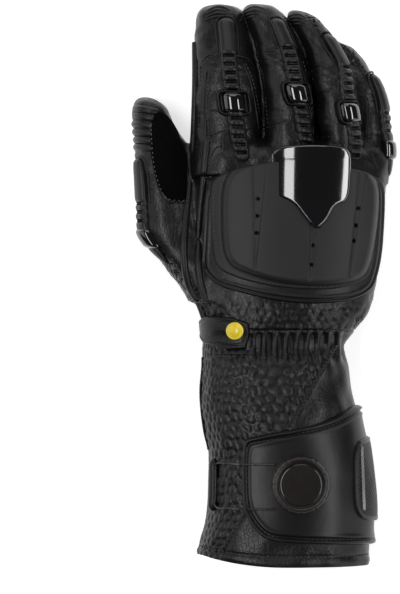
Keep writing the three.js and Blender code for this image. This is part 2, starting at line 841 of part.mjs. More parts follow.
function shellSolid() {
  const top = (x, y, ring) => shellTop(x, y, ring.rise);
  const low = handHeight * 0.3;
  let shell = crowned(shellOutline, shellMiddle, shellRings, top, low).subtract(padGrown);
  const sunk = shellForm(-fluteDepth);
  for (const flute of flutes) {
    const block = prism(fluteOutline(flute), 0.3, handHeight * 0.6, handHeight * 2);
    shell = shell.subtract(block.subtract(sunk));
    for (const along of flute.vents) shell = shell.subtract(ventCutter(flute, along));
  }
  return shell;
}

// The shell's outer form without flutes, moved outward, to seat the plate on.
function shellForm(grow) {
  const outline = inset(shellOutline, -grow);
  return crowned(outline, shellMiddle, shellRings, (x, y, ring) => shellTop(x, y, ring.rise) + grow, handHeight * 0.3);
}

function plateSolid() {
  const rings = [{ share: 1, rise: 0.55 }, { share: 0.86, rise: 1 }, { share: 0.45, rise: 1.15 }];
  const top = (x, y, ring) => shellTop(x, y, 1) + plateRise * ring.rise;
  const low = shellTop(plateMiddle.x, plateMiddle.y, 1) - plateLip;
  return crowned(plateOutline, plateMiddle, rings, top, low)
    .subtract(shellForm(seamGap))
    .subtract(padGrown)
    .subtract(body(seamGap));
}

// Inner panel of suede on the thumb
const gripOutline = [
  onHand(-0.66, 0.67), onHand(-0.6, 0.665), onHand(-0.545, 0.62), onHand(-0.51, 0.56), onHand(-0.49, 0.53),
  onHand(-0.49, 0.4), onHand(-0.53, 0.385), onHand(-0.585, 0.395), onHand(-0.64, 0.44), onHand(-0.67, 0.52),
  onHand(-0.68, 0.6),
];

// Wrist strap, from the thumb side round to its rounded end
const gathersFrom = -0.175; // where they start beside the strap, a share of handWidth
const strapOutline = [
  onHand(-0.47, 0.045), onHand(-0.19, 0.037), onHand(-0.178, -0.02), onHand(-0.198, -0.066),
  onHand(-0.47, -0.03),
];
const snapPlace = onHand(-0.253, -0.002);

// Closure flap, from its free end on the back round to the side
const flapOutline = [
  onCuff(-0.258, 0.5), onCuff(-0.235, 0.455), onCuff(-0.16, 0.444), onCuff(0.03, 0.418), onCuff(0.21, 0.39),
  onCuff(0.35, 0.34), onCuff(0.42, 0.312), onCuff(0.6, 0.33), onCuff(0.6, 0.93), onCuff(0.3, 0.905),
  onCuff(-0.025, 0.895), onCuff(-0.13, 0.88), onCuff(-0.2, 0.83), onCuff(-0.255, 0.75),
];
const badgeOutline = [
  onCuff(0.375, 0.478), onCuff(0.5, 0.449), onCuff(0.62, 0.449), onCuff(0.62, 0.816), onCuff(0.54, 0.816),
  onCuff(0.41, 0.79), onCuff(0.385, 0.72),
];
const badgeStripOutline = [
  onCuff(0.41, 0.49), onCuff(0.41 + badgeStripWidth / cuffWidth, 0.49),
  onCuff(0.425 + badgeStripWidth / cuffWidth, 0.762), onCuff(0.425, 0.762),
];
const sideLow = 0.14; // how near the surface the strap, flap and badge end, a share of cuffHeight

// The dial stands on the flap.
const dialPlace = onCuff(0.086, 0.6466);
const dialSeat = backHeight(dialPlace.x, dialPlace.y) + flapThickness + seamGap;
const dialBaseTop = dialSeat + dialBaseHeight;

function disc(radius, low, high, sides, topRadius = radius) {
  const geometry = new THREE.CylinderGeometry(topRadius, radius, high - low, sides);
  geometry.rotateX(Math.PI / 2);
  geometry.rotateZ(Math.PI / sides);
  geometry.translate(dialPlace.x, dialPlace.y, (low + high) / 2);
  return solid(geometry);
}

// Route of the lace: out of the dial's base, over the flap, round the guide and back.
const laceReach = laceDiameter / 2 + seamGap; // least height of its middle over the leather
const guidePlace = -0.425; // where the lace turns in the guide, a share of cuffWidth
const guideEnds = { near: 0.555, far: 0.757 }; // shares of cuffLength
const laceRows = { near: 0.564, far: 0.752 };

// Place of the lace's middle over the leather or the flap, moved out along the surface's normal.
function laceOver(x, y, lift) {
  const step = laceDiameter;
  const slope = (backHeight(x + step, y) - backHeight(x - step, y)) / (2 * step);
  const normal = new THREE.Vector3(-slope, 0, 1).normalize();
  return new THREE.Vector3(x, y, backHeight(x, y)).addScaledVector(normal, laceReach + lift);
}

function lacePath() {
  const overFlap = flapThickness + pipingRise + seamGap;
  const flapEdge = onCuff(-0.258, 0).x;
  const guideX = guidePlace * cuffWidth;
  const guideMouth = guideX + guideWidth / 2;
  const startX = dialPlace.x - dialBaseDiameter * 0.44;
  const stops = [
    { x: startX, lift: overFlap },
    { x: (startX + flapEdge) / 2, lift: overFlap },
    { x: flapEdge + pipingWidth, lift: overFlap },
    { x: flapEdge - laceDiameter, lift: overFlap },
    { x: flapEdge - laceDiameter * 5, lift: seamGap },
    { x: (flapEdge + guideMouth) / 2 - laceDiameter * 2, lift: seamGap },
    { x: guideMouth, lift: seamGap },
  ];
  const run = (share) => stops.map(({ x, lift }) => laceOver(x, -share * cuffLength, lift));
  const bend = [0.15, 0.5, 0.85].map((t) => {
    const share = laceRows.near + (laceRows.far - laceRows.near) * t;
    return laceOver(guideX, -share * cuffLength, seamGap);
  });
  const points = [...run(laceRows.near), ...bend, ...run(laceRows.far).reverse()];
  return new THREE.CatmullRomCurve3(points, false, 'centripetal');
}

function laceSolid(grow) {
  const section = new THREE.Shape();
  section.absarc(0, 0, laceDiameter / 2 + grow, 0, 2 * Math.PI);
  return solid(new THREE.ExtrudeGeometry(section, {
    steps: laceSteps,
    curveSegments: 4,
    extrudePath: lacePath(),
  }));
}

function guideSolid() {
  const half = guideWidth / cuffWidth;
  const outline = [
    onCuff(guidePlace - half * 1.5, guideEnds.near), onCuff(guidePlace + half * 0.5, guideEnds.near),
    onCuff(guidePlace + half * 0.5, guideEnds.far), onCuff(guidePlace - half * 1.5, guideEnds.far),
  ];
  return layer(cuffBody, outline, 1.5, seamGap, guideRise, cuffHeight * sideLow);
}

// Materials
function leatherMaterial(colour, roughness) {
  return new THREE.MeshStandardMaterial({ color: colour, roughness, metalness: 0 });
}
const materials = {
  leather: leatherMaterial(0x1c1c1e, 0.55),
  suede: leatherMaterial(0x18181a, 0.95),
  matte: leatherMaterial(0x262627, 0.6),
  rubber: leatherMaterial(0x222228, 0.7),
  gloss: leatherMaterial(0x08080a, 0.08),
  yellow: leatherMaterial(0xe8cf1e, 0.35),
  dial: leatherMaterial(0x383432, 0.45),
  strip: leatherMaterial(0x6f7174, 0.5),
  wire: new THREE.MeshStandardMaterial({ color: 0x3a3a3c, roughness: 0.35, metalness: 0.9 }),
};

const gauntlet = new THREE.Group();

function addPiece(name, shape, material) {
  const mesh = shape.getMesh();
  const geometry = new THREE.BufferGeometry();
  geometry.setAttribute('position', new THREE.BufferAttribute(new Float32Array(mesh.vertProperties), 3));
  geometry.setIndex(Array.from(mesh.triVerts));
  geometry.computeVertexNormals();
  const piece = new THREE.Mesh(geometry, material.clone());
  piece.name = name;
  gauntlet.add(piece);
}

// Leather
const handHollow = filledHand(-leather, liningSides + 4, liningSides, 5, 4);
const handForm = filledHand(0, handSides, fingerSides, handSteps, fingerSteps);
addPiece('hand_leather', handForm.subtract(handHollow), materials.leather);
const cuffHollow = filledCuff(-leather, cuffSides / 2, 0, -cuffLength, liningStations);
addPiece('wrist_gathers', filledGathers().subtract(cuffHollow), materials.leather);
const cuffForm = filledCuff(0, cuffSides, -gatherLength - seamGap / 2, -cuffLength, cuffStations);
addPiece('cuff_leather', cuffForm.subtract(cuffHollow), materials.leather);
addPiece('thumb_grip', layer(body, gripOutline, 6, seamGap, gripThickness, handHeight * 0.42), materials.suede);

// Armour on the back of the hand
const padLow = handHeight * 0.35;
const padLayer = pipedLayer(body, padOutline, 8, seamGap, padThickness, padLow);
const padGrown = layer(body, inset(padOutline, -seamGap), 8, 0, padThickness + 2 * seamGap, padLow)
  .add(body(seamGap));
const knuckleShell = shellSolid();
const shellSeat = shellForm(seamGap);
const armourSeat = shellSeat.add(body(seamGap + padThickness + pipingRise).intersect(
  prism(inset(padOutline, -seamGap), 8, padLow, handHeight * 2),
));
addPiece('knuckle_pad', padLayer.subtract(shellSeat), materials.leather);
addPiece('knuckle_shell', knuckleShell, materials.matte);
const plate = plateSolid();
addPiece('knuckle_plate', plate, materials.gloss);

// Armour on the fingers and thumb
const plateSeat = prism(inset(plateOutline, -seamGap), 1, 0, handHeight * 3);
for (const [name, spine] of Object.entries(spines)) {
  const onBack = spine.facing < 30 && spine.facing > -30;
  const seat = onBack ? saddleSolid(spine, seamGap) : null;
  let strip = spineSolid(spine, seat);
  if (onBack) strip = strip.subtract(armourSeat).subtract(plateSeat);
  addPiece(`spine_${name}`, strip, materials.rubber);
  if (onBack) addPiece(`saddle_${name}`, saddleSolid(spine, 0).subtract(body(seamGap)), materials.leather);
  addPiece(`cap_${name}`, capSolid(spine), materials.gloss);
}

// Wrist strap and its snap
const strapLow = handHeight * 0.3;
const strap = layer(body, strapOutline, 4, seamGap, strapThickness, strapLow);
addPiece('wrist_strap', strap, materials.leather);
const snapSeat = backHeight(snapPlace.x, snapPlace.y) + strapThickness + seamGap * 2;
const snapProfile = [
  [0, -strapThickness * 0.8], [0.42, -strapThickness * 0.8], [0.5, 0.1], [0.46, 0.5], [0.3, 0.85], [0, 1],
].map(([share, rise]) => new THREE.Vector2(share * snapDiameter, rise < 0 ? rise : rise * snapRise));
const snapGeometry = new THREE.LatheGeometry(snapProfile, 16);
snapGeometry.rotateX(Math.PI / 2);
snapGeometry.translate(snapPlace.x, snapPlace.y, snapSeat);
addPiece('snap_cap', solid(snapGeometry).subtract(body(seamGap * 2 + strapThickness)), materials.yellow);

// Closure flap, side badge
const flapLow = cuffHeight * sideLow;
addPiece('cuff_flap', pipedLayer(cuffBody, flapOutline, 7, seamGap, flapThickness, flapLow), materials.leather);
const badgeUnder = seamGap * 2 + flapThickness;
addPiece('side_badge', layer(cuffBody, badgeOutline, 2, badgeUnder, badgeThickness, flapLow * 1.6), materials.rubber);
const stripUnder = badgeUnder + badgeThickness + seamGap;
addPiece('badge_strip', layer(cuffBody, badgeStripOutline, 0.5, stripUnder, badgeStripRise, flapLow), materials.strip);

// Dial
const hubRadius = dialHubDiameter / 2;
const laceGrown = laceSolid(seamGap);
const baseRadius = dialBaseDiameter / 2;
const dialBase = disc(baseRadius, dialSeat - cuffHeight * 0.1, dialBaseTop, 24, baseRadius * 0.94)
  .subtract(cuffBody(seamGap * 2 + flapThickness))
  .subtract(disc(hubRadius + runningGap, dialSeat + dialBaseHeight * 0.4, dialBaseTop + 1, 16))
  .subtract(laceGrown);
addPiece('dial_base', dialBase, materials.dial);
const hubLow = dialSeat + dialBaseHeight * 0.4 + runningGap;
addPiece('dial_spool', disc(hubRadius, hubLow, hubLow + dialHubHeight, 16), materials.dial);
const knobLow = dialBaseTop + runningGap;
const knobTop = knobLow + dialKnobHeight;
const knobRadius = dialKnobDiameter / 2;
const windowRadius = dialWindowDiameter / 2;
const knob = disc(knobRadius, knobLow, knobTop, dialSides, knobRadius * 0.93)
  .subtract(disc(windowRadius, knobTop - dialWindowDepth, knobTop + 1, 24))
  .subtract(disc(hubRadius + runningGap, knobLow - 1, hubLow + dialHubHeight + runningGap, 16));
addPiece('dial_knob', knob, materials.dial);
const capLow = knobTop - dialWindowDepth + seamGap;
addPiece('dial_cap', disc(windowRadius - seamGap * 1.5, capLow, capLow + dialWindowDepth * 0.5, 24), materials.dial);

// Lace and its guide
addPiece('closure_lace', laceSolid(0), materials.wire);
addPiece('lace_guide', guideSolid().subtract(laceGrown), materials.rubber);

// The finished group stands with the middle of its box at the origin.
const box = new THREE.Box3().setFromObject(gauntlet);
const middle = box.getCenter(new THREE.Vector3());
gauntlet.position.set(-middle.x, -middle.y, -box.min.z);

export default gauntlet;
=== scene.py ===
"""Looks of a long leather motorcycle gauntlet that lies palm down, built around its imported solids.

Everything is in metres, +Z up, +Y toward the fingertips and +X toward the little finger.
"""
import math

import bpy
import numpy as np
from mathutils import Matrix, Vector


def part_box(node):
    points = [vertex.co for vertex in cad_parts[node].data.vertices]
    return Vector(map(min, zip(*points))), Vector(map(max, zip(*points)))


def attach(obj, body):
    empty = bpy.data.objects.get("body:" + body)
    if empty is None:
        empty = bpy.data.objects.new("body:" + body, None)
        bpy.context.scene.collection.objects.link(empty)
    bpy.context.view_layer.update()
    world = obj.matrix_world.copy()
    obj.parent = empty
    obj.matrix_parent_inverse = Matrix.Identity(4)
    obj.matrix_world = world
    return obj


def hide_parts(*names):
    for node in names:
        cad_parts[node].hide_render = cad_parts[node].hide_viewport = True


bl_info = {
    "name": "Motorcycle Gauntlet",
    "version": (1, 0, 0),
    "blender": (4, 5, 0),
    "location": "3D View > Sidebar > Gauntlet",
    "description": "Leather, armour, stitching, closures and a plain stage for a motorcycle gauntlet",
    "category": "Object",
}

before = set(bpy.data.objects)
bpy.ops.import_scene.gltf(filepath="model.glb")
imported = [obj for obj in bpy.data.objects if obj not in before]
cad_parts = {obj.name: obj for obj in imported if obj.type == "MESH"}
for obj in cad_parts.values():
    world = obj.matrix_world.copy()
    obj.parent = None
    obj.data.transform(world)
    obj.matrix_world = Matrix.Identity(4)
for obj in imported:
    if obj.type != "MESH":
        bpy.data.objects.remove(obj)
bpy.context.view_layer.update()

# Sizes of the leather, as the solids have them
HAND_LENGTH = 0.192
HAND_WIDTH = 0.117
HAND_HEIGHT = 0.046
CUFF_LENGTH = 0.137
CUFF_WIDTH = 0.097
CUFF_HEIGHT = 0.058
LEATHER = 0.002
GATHER_LENGTH = 0.014
SEAM_GAP = 0.0003
HEM_LIFT = 0.006
HEM_STITCH = 0.0062  # from the cuff's mouth to the stitches of its hem
SQUARENESS = 2.25
TIP_SQUARENESS = 2.6
DIAL_ACROSS = 0.086  # place of the dial, a share of CUFF_WIDTH

# Where the wrist seam and the hand's middle line are in the frame
_dial_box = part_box("dial_base")
ORIGIN = np.array([
    (_dial_box[0].x + _dial_box[1].x) / 2 - DIAL_ACROSS * CUFF_WIDTH,
    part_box("wrist_gathers")[1].y + SEAM_GAP / 2,
    0.0,
])

# The photograph's frame: its size of a pixel, and the pixel of the wrist seam on the middle line
PIXEL = 0.000585
SEAM_PIXEL = (285.0, 330.0)


def spot(points):
    """Places in plan of pixels of the photograph, in metres from the wrist seam on the middle line."""
    points = np.asarray(points, float)
    return np.stack([points[..., 0] - SEAM_PIXEL[0], SEAM_PIXEL[1] - points[..., 1]], -1) * PIXEL


def table(columns, rows):
    """Named columns from rows of numbers."""
    return {name: np.array([row[i] for row in rows], float) for i, name in enumerate(columns)}


def row_at(rows, t):
    """Smooth value of every column where the first column is t."""
    key = next(iter(rows))
    keys = rows[key]
    t = np.clip(t, keys[0], keys[-1])
    i = np.clip(np.searchsorted(keys, t, side="right") - 1, 0, len(keys) - 2)
    span = keys[i + 1] - keys[i]
    u = (t - keys[i]) / span
    result = {}
    for name, values in rows.items():
        slope = np.empty_like(values)
        slope[1:-1] = (values[2:] - values[:-2]) / (keys[2:] - keys[:-2])
        slope[0] = (values[1] - values[0]) / (keys[1] - keys[0])
        slope[-1] = (values[-1] - values[-2]) / (keys[-1] - keys[-2])
        rise = values[i + 1] - values[i]
        a = slope[i] * span - rise
        b = rise - slope[i + 1] * span
        result[name] = values[i] + rise * u + u * (1 - u) * (a * (1 - u) + b * u)
    return result


def ease(value, low, high):
    """Smooth step from 0 at low to 1 at high."""
    t = np.clip((value - low) / (high - low), 0, 1)
    return t * t * (3 - 2 * t)


def rounded(away, reach):
    """Quarter-round edge: 0 at an outline and 1 from reach inward."""
    return np.sqrt(np.clip(1 - (1 - np.clip(away / reach, 0, 1)) ** 2, 0, 1))


def bump(value, centre, width):
    """Smooth hump of height 1 round a centre."""
    return np.exp(-((value - centre) / width) ** 2)


# Sections of the hand, the fingers and the cuff, as shares of the sizes above
EDGE_COLUMNS = ("along", "left", "right", "top", "base")
HAND_ROWS = table(EDGE_COLUMNS, [
    (0.0, -0.405, 0.355, 1.05, -0.08), (0.043, -0.415, 0.41, 1.06, -0.1),
    (0.091, -0.445, 0.435, 1.04, -0.12), (0.146, -0.46, 0.462, 1.02, -0.14),
    (0.229, -0.47, 0.482, 1.0, -0.14), (0.32, -0.475, 0.497, 1.0, -0.14),
    (0.412, -0.475, 0.507, 0.99, -0.13), (0.503, -0.472, 0.515, 0.96, -0.1),
    (0.579, -0.467, 0.515, 0.9, -0.04),
])
HAND_END = 0.579
HAND_TIP = 0.075
CUFF_ROWS = table(EDGE_COLUMNS, [
    (0.0, -0.4885, 0.428, 0.833, -0.0634), (0.026, -0.489, 0.4, 0.81, -0.07),
    (0.064, -0.498, 0.362, 0.8, -0.075), (0.1, -0.5, 0.366, 0.82, -0.08),
    (0.154, -0.5, 0.386, 0.86, -0.09), (0.256, -0.512, 0.404, 0.9, -0.1),
    (0.342, -0.506, 0.434, 0.93, -0.1), (0.436, -0.488, 0.46, 0.955, -0.1),
    (0.513, -0.464, 0.48, 0.97, -0.1), (0.641, -0.464, 0.502, 0.99, -0.1),
    (0.748, -0.47, 0.514, 1.0, -0.1), (0.846, -0.488, 0.512, 1.0, -0.1),
    (0.919, -0.512, 0.51, 0.995, -0.1), (1.0, -0.53, 0.506, 0.985, -0.1),
])
FINGER_COLUMNS = ("along", "middle", "half", "height", "rise")
FINGERS = {
    "index": (1.0, 0.055, table(FINGER_COLUMNS, [
        (0.473, -0.295, 0.16, 0.5, 0.42), (0.573, -0.29, 0.166, 0.51, 0.385),
        (0.668, -0.289, 0.166, 0.51, 0.365), (0.75, -0.293, 0.162, 0.5, 0.35),
        (0.82, -0.301, 0.149, 0.46, 0.335), (0.878, -0.306, 0.143, 0.4, 0.32),
        (0.93, -0.316, 0.13, 0.345, 0.3), (1.0, -0.326, 0.115, 0.3, 0.27),
    ])),
    "middle": (1.0, 0.055, table(FINGER_COLUMNS, [
        (0.473, 0.015, 0.13, 0.56, 0.42), (0.573, 0.025, 0.125, 0.58, 0.385),
        (0.668, 0.024, 0.121, 0.59, 0.36), (0.75, 0.01, 0.117, 0.58, 0.35),
        (0.82, -0.012, 0.117, 0.54, 0.335), (0.869, -0.035, 0.113, 0.48, 0.325),
        (0.921, -0.07, 0.108, 0.42, 0.31), (1.0, -0.135, 0.1, 0.35, 0.28),
    ])),
    "ring": (0.979, 0.06, table(FINGER_COLUMNS, [
        (0.473, 0.26, 0.115, 0.52, 0.41), (0.573, 0.277, 0.101, 0.56, 0.36),
        (0.631, 0.264, 0.101, 0.58, 0.34), (0.701, 0.249, 0.099, 0.59, 0.32),
        (0.75, 0.235, 0.098, 0.57, 0.31), (0.808, 0.216, 0.095, 0.53, 0.3),
        (0.86, 0.182, 0.091, 0.46, 0.295), (0.902, 0.148, 0.09, 0.4, 0.29),
        (0.979, 0.06, 0.075, 0.32, 0.26),
    ])),
    "little": (0.872, 0.055, table(FINGER_COLUMNS, [
        (0.457, 0.405, 0.105, 0.36, 0.34), (0.536, 0.422, 0.102, 0.32, 0.315),
        (0.607, 0.42, 0.098, 0.3, 0.295), (0.686, 0.409, 0.096, 0.285, 0.28),
        (0.75, 0.381, 0.092, 0.275, 0.27), (0.805, 0.342, 0.082, 0.265, 0.26),
        (0.872, 0.29, 0.068, 0.25, 0.245),
    ])),
    "thumb": (0.713, 0.06, table(FINGER_COLUMNS, [
        (0.091, -0.35, 0.13, 0.44, 0.4), (0.183, -0.445, 0.142, 0.44, 0.4),
        (0.244, -0.52, 0.15, 0.43, 0.39), (0.305, -0.575, 0.148, 0.42, 0.38),
        (0.381, -0.59, 0.142, 0.4, 0.37), (0.457, -0.6, 0.14, 0.39, 0.36),
        (0.53, -0.615, 0.134, 0.37, 0.345), (0.585, -0.634, 0.118, 0.345, 0.325),
        (0.64, -0.664, 0.1, 0.31, 0.3), (0.713, -0.695, 0.08, 0.28, 0.265),
    ])),
}


def edge_section(rows, share, width, height):
    """Middle and half sizes of a section that is given by its edges."""
    row = row_at(rows, share)
    return (
        (row["left"] + row["right"]) / 2 * width, (row["right"] - row["left"]) / 2 * width,
        (row["top"] + row["base"]) / 2 * height, (row["top"] - row["base"]) / 2 * height,
    )


def hand_section(y):
    return edge_section(HAND_ROWS, y / HAND_LENGTH, HAND_WIDTH, HAND_HEIGHT)


def cuff_section(y):
    return edge_section(CUFF_ROWS, -y / CUFF_LENGTH, CUFF_WIDTH, CUFF_HEIGHT)


def sleeve_section(y):
    """The hand above the wrist seam and the cuff below it."""
    return tuple(np.where(y >= 0, a, b) for a, b in zip(hand_section(y), cuff_section(y)))


def finger_section(name, y):
    row = row_at(FINGERS[name][2], y / HAND_LENGTH)
    return (
        row["middle"] * HAND_WIDTH, row["half"] * HAND_WIDTH,
        row["height"] * HAND_HEIGHT, row["rise"] * HAND_HEIGHT,
    )


def tubes():
    """Each leather tube of the hand: its section, start, end and rounded length."""
    found = {"hand": (hand_section, -0.01, HAND_END * HAND_LENGTH, HAND_TIP * HAND_LENGTH)}
    for name, (tip, round_over, rows) in FINGERS.items():
        start = rows["along"][0] * HAND_LENGTH
        found[name] = (
            lambda y, name=name: finger_section(name, y), start, tip * HAND_LENGTH, round_over * HAND_LENGTH,
        )
    return found


TUBES = tubes()


def blend_min(a, b, reach):
    """Union of two fields with a rounded inner corner."""
    h = np.maximum(reach - np.abs(a - b), 0) / reach
    return np.minimum(a, b) - h * h * reach / 4


def tube_field(tube, x, y, z, grow):
    """Field that is negative in a tube and zero on its skin, moved outward by grow."""
    section, start, end, round_over = tube
    middle, half_width, height, half_height = section(y)
    wide = half_width + grow
    high = half_height + grow
    shoulder = end - round_over
    across = (np.abs(x - middle) / wide) ** SQUARENESS + (np.abs(z - height) / high) ** SQUARENESS
    tip = np.clip((y - shoulder) / (round_over + grow), 0, None)
    radius = (across ** (TIP_SQUARENESS / SQUARENESS) + tip ** TIP_SQUARENESS) ** (1 / TIP_SQUARENESS)
    return np.maximum((radius - 1) * np.minimum(wide, high), start - y)


WEB = 0.0016  # rounding between neighbouring fingers, on their backs
GUSSET = 0.012  # the same between their sides, where a gusset joins them
GUSSET_TOP = 0.027  # height over which the fingers are free of the gusset
GUSSET_END = 0.179  # and how far toward the fingertips it runs
PALM_WEB = 0.005  # rounding between a finger and the hand


def glove_field(x, y, z, grow=0.0):
    """The hand and its fingers as one filled field."""
    fingers = None
    below = 1 - ease(z, GUSSET_TOP - 0.005, GUSSET_TOP)
    web = WEB + (GUSSET - WEB) * below * (1 - ease(y, GUSSET_END - 0.014, GUSSET_END))
    for name in FINGERS:
        field = tube_field(TUBES[name], x, y, z, grow)
        fingers = field if fingers is None else blend_min(fingers, field, web)
    return blend_min(tube_field(TUBES["hand"], x, y, z, grow), fingers, PALM_WEB)


def hollow_glove(x, y, z):
    """The leather wall: inside the skin, outside the lining, above the rest plane, open at the wrist."""
    skin = np.maximum(np.maximum(glove_field(x, y, z), -z), SEAM_GAP / 2 - y)
    lining = np.maximum(glove_field(x, y, z, -LEATHER), LEATHER - z)
    return np.maximum(skin, -lining)


def surface_net(field_at, low, high, step):
    """Closed quad mesh on the zero surface of a field, one vertex for each cell that it crosses."""
    axes = [np.arange(low[i], high[i] + step, step) for i in range(3)]
    x, y, z = (axes[i].reshape([-1 if j == i else 1 for j in range(3)]) for i in range(3))
    field = field_at(x, y, z)
    inside = field < 0

    def corner(grid, *shift):
        return grid[tuple(slice(i, n - 1 + i) for i, n in zip(shift, grid.shape))]

    offsets = [(i, j, k) for i in (0, 1) for j in (0, 1) for k in (0, 1)]
    count = sum(corner(inside, *o).astype(np.int8) for o in offsets)
    active = np.nonzero((count > 0) & (count < 8))
    index = np.full(count.shape, -1, np.int64)
    index[active] = np.arange(len(active[0]))
    total = np.zeros((len(active[0]), 3))
    hits = np.zeros(len(active[0]))
    for a in offsets:
        for axis in range(3):
            if a[axis]:
                continue
            b = tuple(a[i] + (i == axis) for i in range(3))
            fa = corner(field, *a)[active]
            fb = corner(field, *b)[active]
            crossed = (fa < 0) != (fb < 0)
            share = np.where(crossed, fa / np.where(crossed, fa - fb, 1), 0)
            place = np.array(a, float) + share[:, None] * (np.arange(3) == axis)
            total += np.where(crossed[:, None], place, 0)
            hits += crossed
    points = (np.stack(active, -1) + total / hits[:, None]) * step + np.array([a[0] for a in axes])
    quads = []
    for axis in range(3):
        u, v = (axis + 1) % 3, (axis + 2) % 3
        first = [slice(1, n - 1) for n in inside.shape]
        first[axis] = slice(0, inside.shape[axis] - 1)
        second = list(first)
        second[axis] = slice(1, inside.shape[axis])
        here = inside[tuple(first)]
        there = inside[tuple(second)]
        edges = np.stack(np.nonzero(here != there), -1)
        rising = here[tuple(edges.T)]
        base = edges.copy()
        base[:, u] += 1
        base[:, v] += 1
        ring = []
        for du, dv in ((-1, -1), (0, -1), (0, 0), (-1, 0)):
            cell = base.copy()
            cell[:, u] += du
            cell[:, v] += dv
            ring.append(index[tuple(cell.T)])
        ring = np.stack(ring, -1)
        ring[~rising] = ring[~rising][:, ::-1]
        quads.append(ring)
    return points, np.concatenate(quads)


def settle(points, field_at, step):
    """Points moved onto the zero surface of a field, by at most a third of a step."""
    small = step * 0.1
    values = field_at(*points.T)
    slope = np.stack([
        field_at(*(points + small * np.eye(3)[axis]).T) - values for axis in range(3)
    ], -1) / small
    length = np.maximum((slope ** 2).sum(-1), 0.05)
    move = -(values / length)[:, None] * slope
    far = np.linalg.norm(move, axis=-1, keepdims=True)
    return points + move * np.minimum(1, step * 0.33 / np.maximum(far, 1e-12))


def ripple(points, wavelength, seed):
    """Smooth random field from a few plane waves, between about -1 and 1."""
    chance = np.random.default_rng(seed)
    waves = 7
    value = np.zeros(points.shape[:-1])
    for _ in range(waves):
        direction = chance.normal(size=points.shape[-1])
        direction *= 2 * math.pi / (wavelength * chance.uniform(0.7, 1.4)) / np.linalg.norm(direction)
        value += np.sin(points @ direction + chance.uniform(0, 2 * math.pi))
    return value / math.sqrt(waves * 0.5) * 0.6


def scales(u, v, size, seed=3):
    """Embossed cells: 0 in the creases between them and 1 on their tops."""
    row_height = size * 0.86
    row = np.floor(v / row_height)
    nearest = np.full(np.shape(u), 9.0)
    second = np.full(np.shape(u), 9.0)
    for down in (-1, 0, 1):
        j = row + down
        shift = np.where(np.mod(j, 2) == 0, 0.0, 0.5)
        column = np.floor(u / size - shift)
        for side in (-1, 0, 1):
            i = column + side
            noise = np.mod(np.sin(i * 127.1 + j * 311.7 + seed) * 43758.5453, 1)
            other = np.mod(np.sin(i * 269.5 + j * 183.3 + seed) * 28001.8384, 1)
            du = u / size - (i + shift + 0.5 + (noise - 0.5) * 0.5)
            dv = v / size - ((j + 0.5) * 0.86 + (other - 0.5) * 0.45)
            away = np.hypot(du, dv)
            second = np.minimum(second, np.maximum(away, nearest))
            nearest = np.minimum(nearest, away)
    return ease(second - nearest, 0.0, 0.6)


# Places on the leather
UNROLLED = 0.047  # metres of unrolled sleeve for each radian of its section's angle


def around(section, angle, grow=0.0):
    """Point of a section at an angle from +X, as x and z, and its outward normal."""
    middle, half_width, height, half_height = section
    c, s = np.cos(angle), np.sin(angle)
    power = 2 / SQUARENESS
    x = middle + np.sign(c) * half_width * np.abs(c) ** power
    z = height + np.sign(s) * half_height * np.abs(s) ** power
    lean = 2 - power
    nx = np.sign(c) * np.abs(c) ** lean / half_width
    nz = np.sign(s) * np.abs(s) ** lean / half_height
    length = np.maximum(np.hypot(nx, nz), 1e-9)
    return x + nx / length * grow, z + nz / length * grow, nx / length, nz / length


def hem_drop(x, y):
    """How far the hem is drawn up on the thumb side."""
    down = np.clip(-y / CUFF_LENGTH - 0.8, 0, None) / 0.2
    side = np.clip(-x / (CUFF_WIDTH / 2), 0, 1)
    return HEM_LIFT * down * side ** 2


def on_sleeve(places, lift):
    """Places (unrolled distance, y) on the hand and cuff, lifted along the normal."""
    angle = places[..., 0] / UNROLLED
    y = places[..., 1]
    x, z, _, _ = around(sleeve_section(y), angle, lift)
    return np.stack([x, y + hem_drop(x, y), z], -1)


def unrolled(places):
    """Places in plan on the back of the sleeve as (unrolled distance, y)."""
    places = np.asarray(places, float)
    middle, half_width, _, _ = sleeve_section(places[..., 1])
    share = np.clip((places[..., 0] - middle) / half_width, -1, 1)
    angle = np.arccos(np.sign(share) * np.abs(share) ** (SQUARENESS / 2))
    return np.stack([angle * UNROLLED, places[..., 1]], -1)


def back_height(x, y):
    """Height of the leather's back over a place in plan."""
    x, y = np.broadcast_arrays(np.asarray(x, float), np.asarray(y, float))
    best = np.full(x.shape, 0.0)
    for section, start, end, round_over in [*TUBES.values(), (cuff_section, -CUFF_LENGTH, 0.0, 1e-6)]:
        tip = np.clip((y - (end - round_over)) / round_over, 0, 0.999)
        shrink = (1 - tip ** TIP_SQUARENESS) ** (1 / TIP_SQUARENESS)
        middle, half_width, height, half_height = section(y)
        away = np.abs(x - middle) - half_width * shrink
        share = np.clip(np.abs(x - middle) / (half_width * shrink), 0, 0.995)
        top = height + half_height * shrink * (1 - share ** SQUARENESS) ** (1 / SQUARENESS)
        top = top - np.maximum(away, 0) * 4
        best = np.where((y >= start) & (y <= end), np.maximum(best, top), best)
    return best


def on_back(places, lift):
    """Places in plan on the back of the glove, lifted along the normal."""
    x, y = places[..., 0], places[..., 1]
    step = 0.0006
    here = back_height(x, y)
    slope_x = (back_height(x + step, y) - back_height(x - step, y)) / (2 * step)
    slope_y = (back_height(x, y + step) - back_height(x, y - step)) / (2 * step)
    slope_x = np.clip(slope_x, -2.5, 2.5)
    slope_y = np.clip(slope_y, -1.5, 1.5)
    length = np.sqrt(1 + slope_x ** 2 + slope_y ** 2)
    return np.stack([x - slope_x / length * lift, y - slope_y / length * lift, here + lift / length], -1)


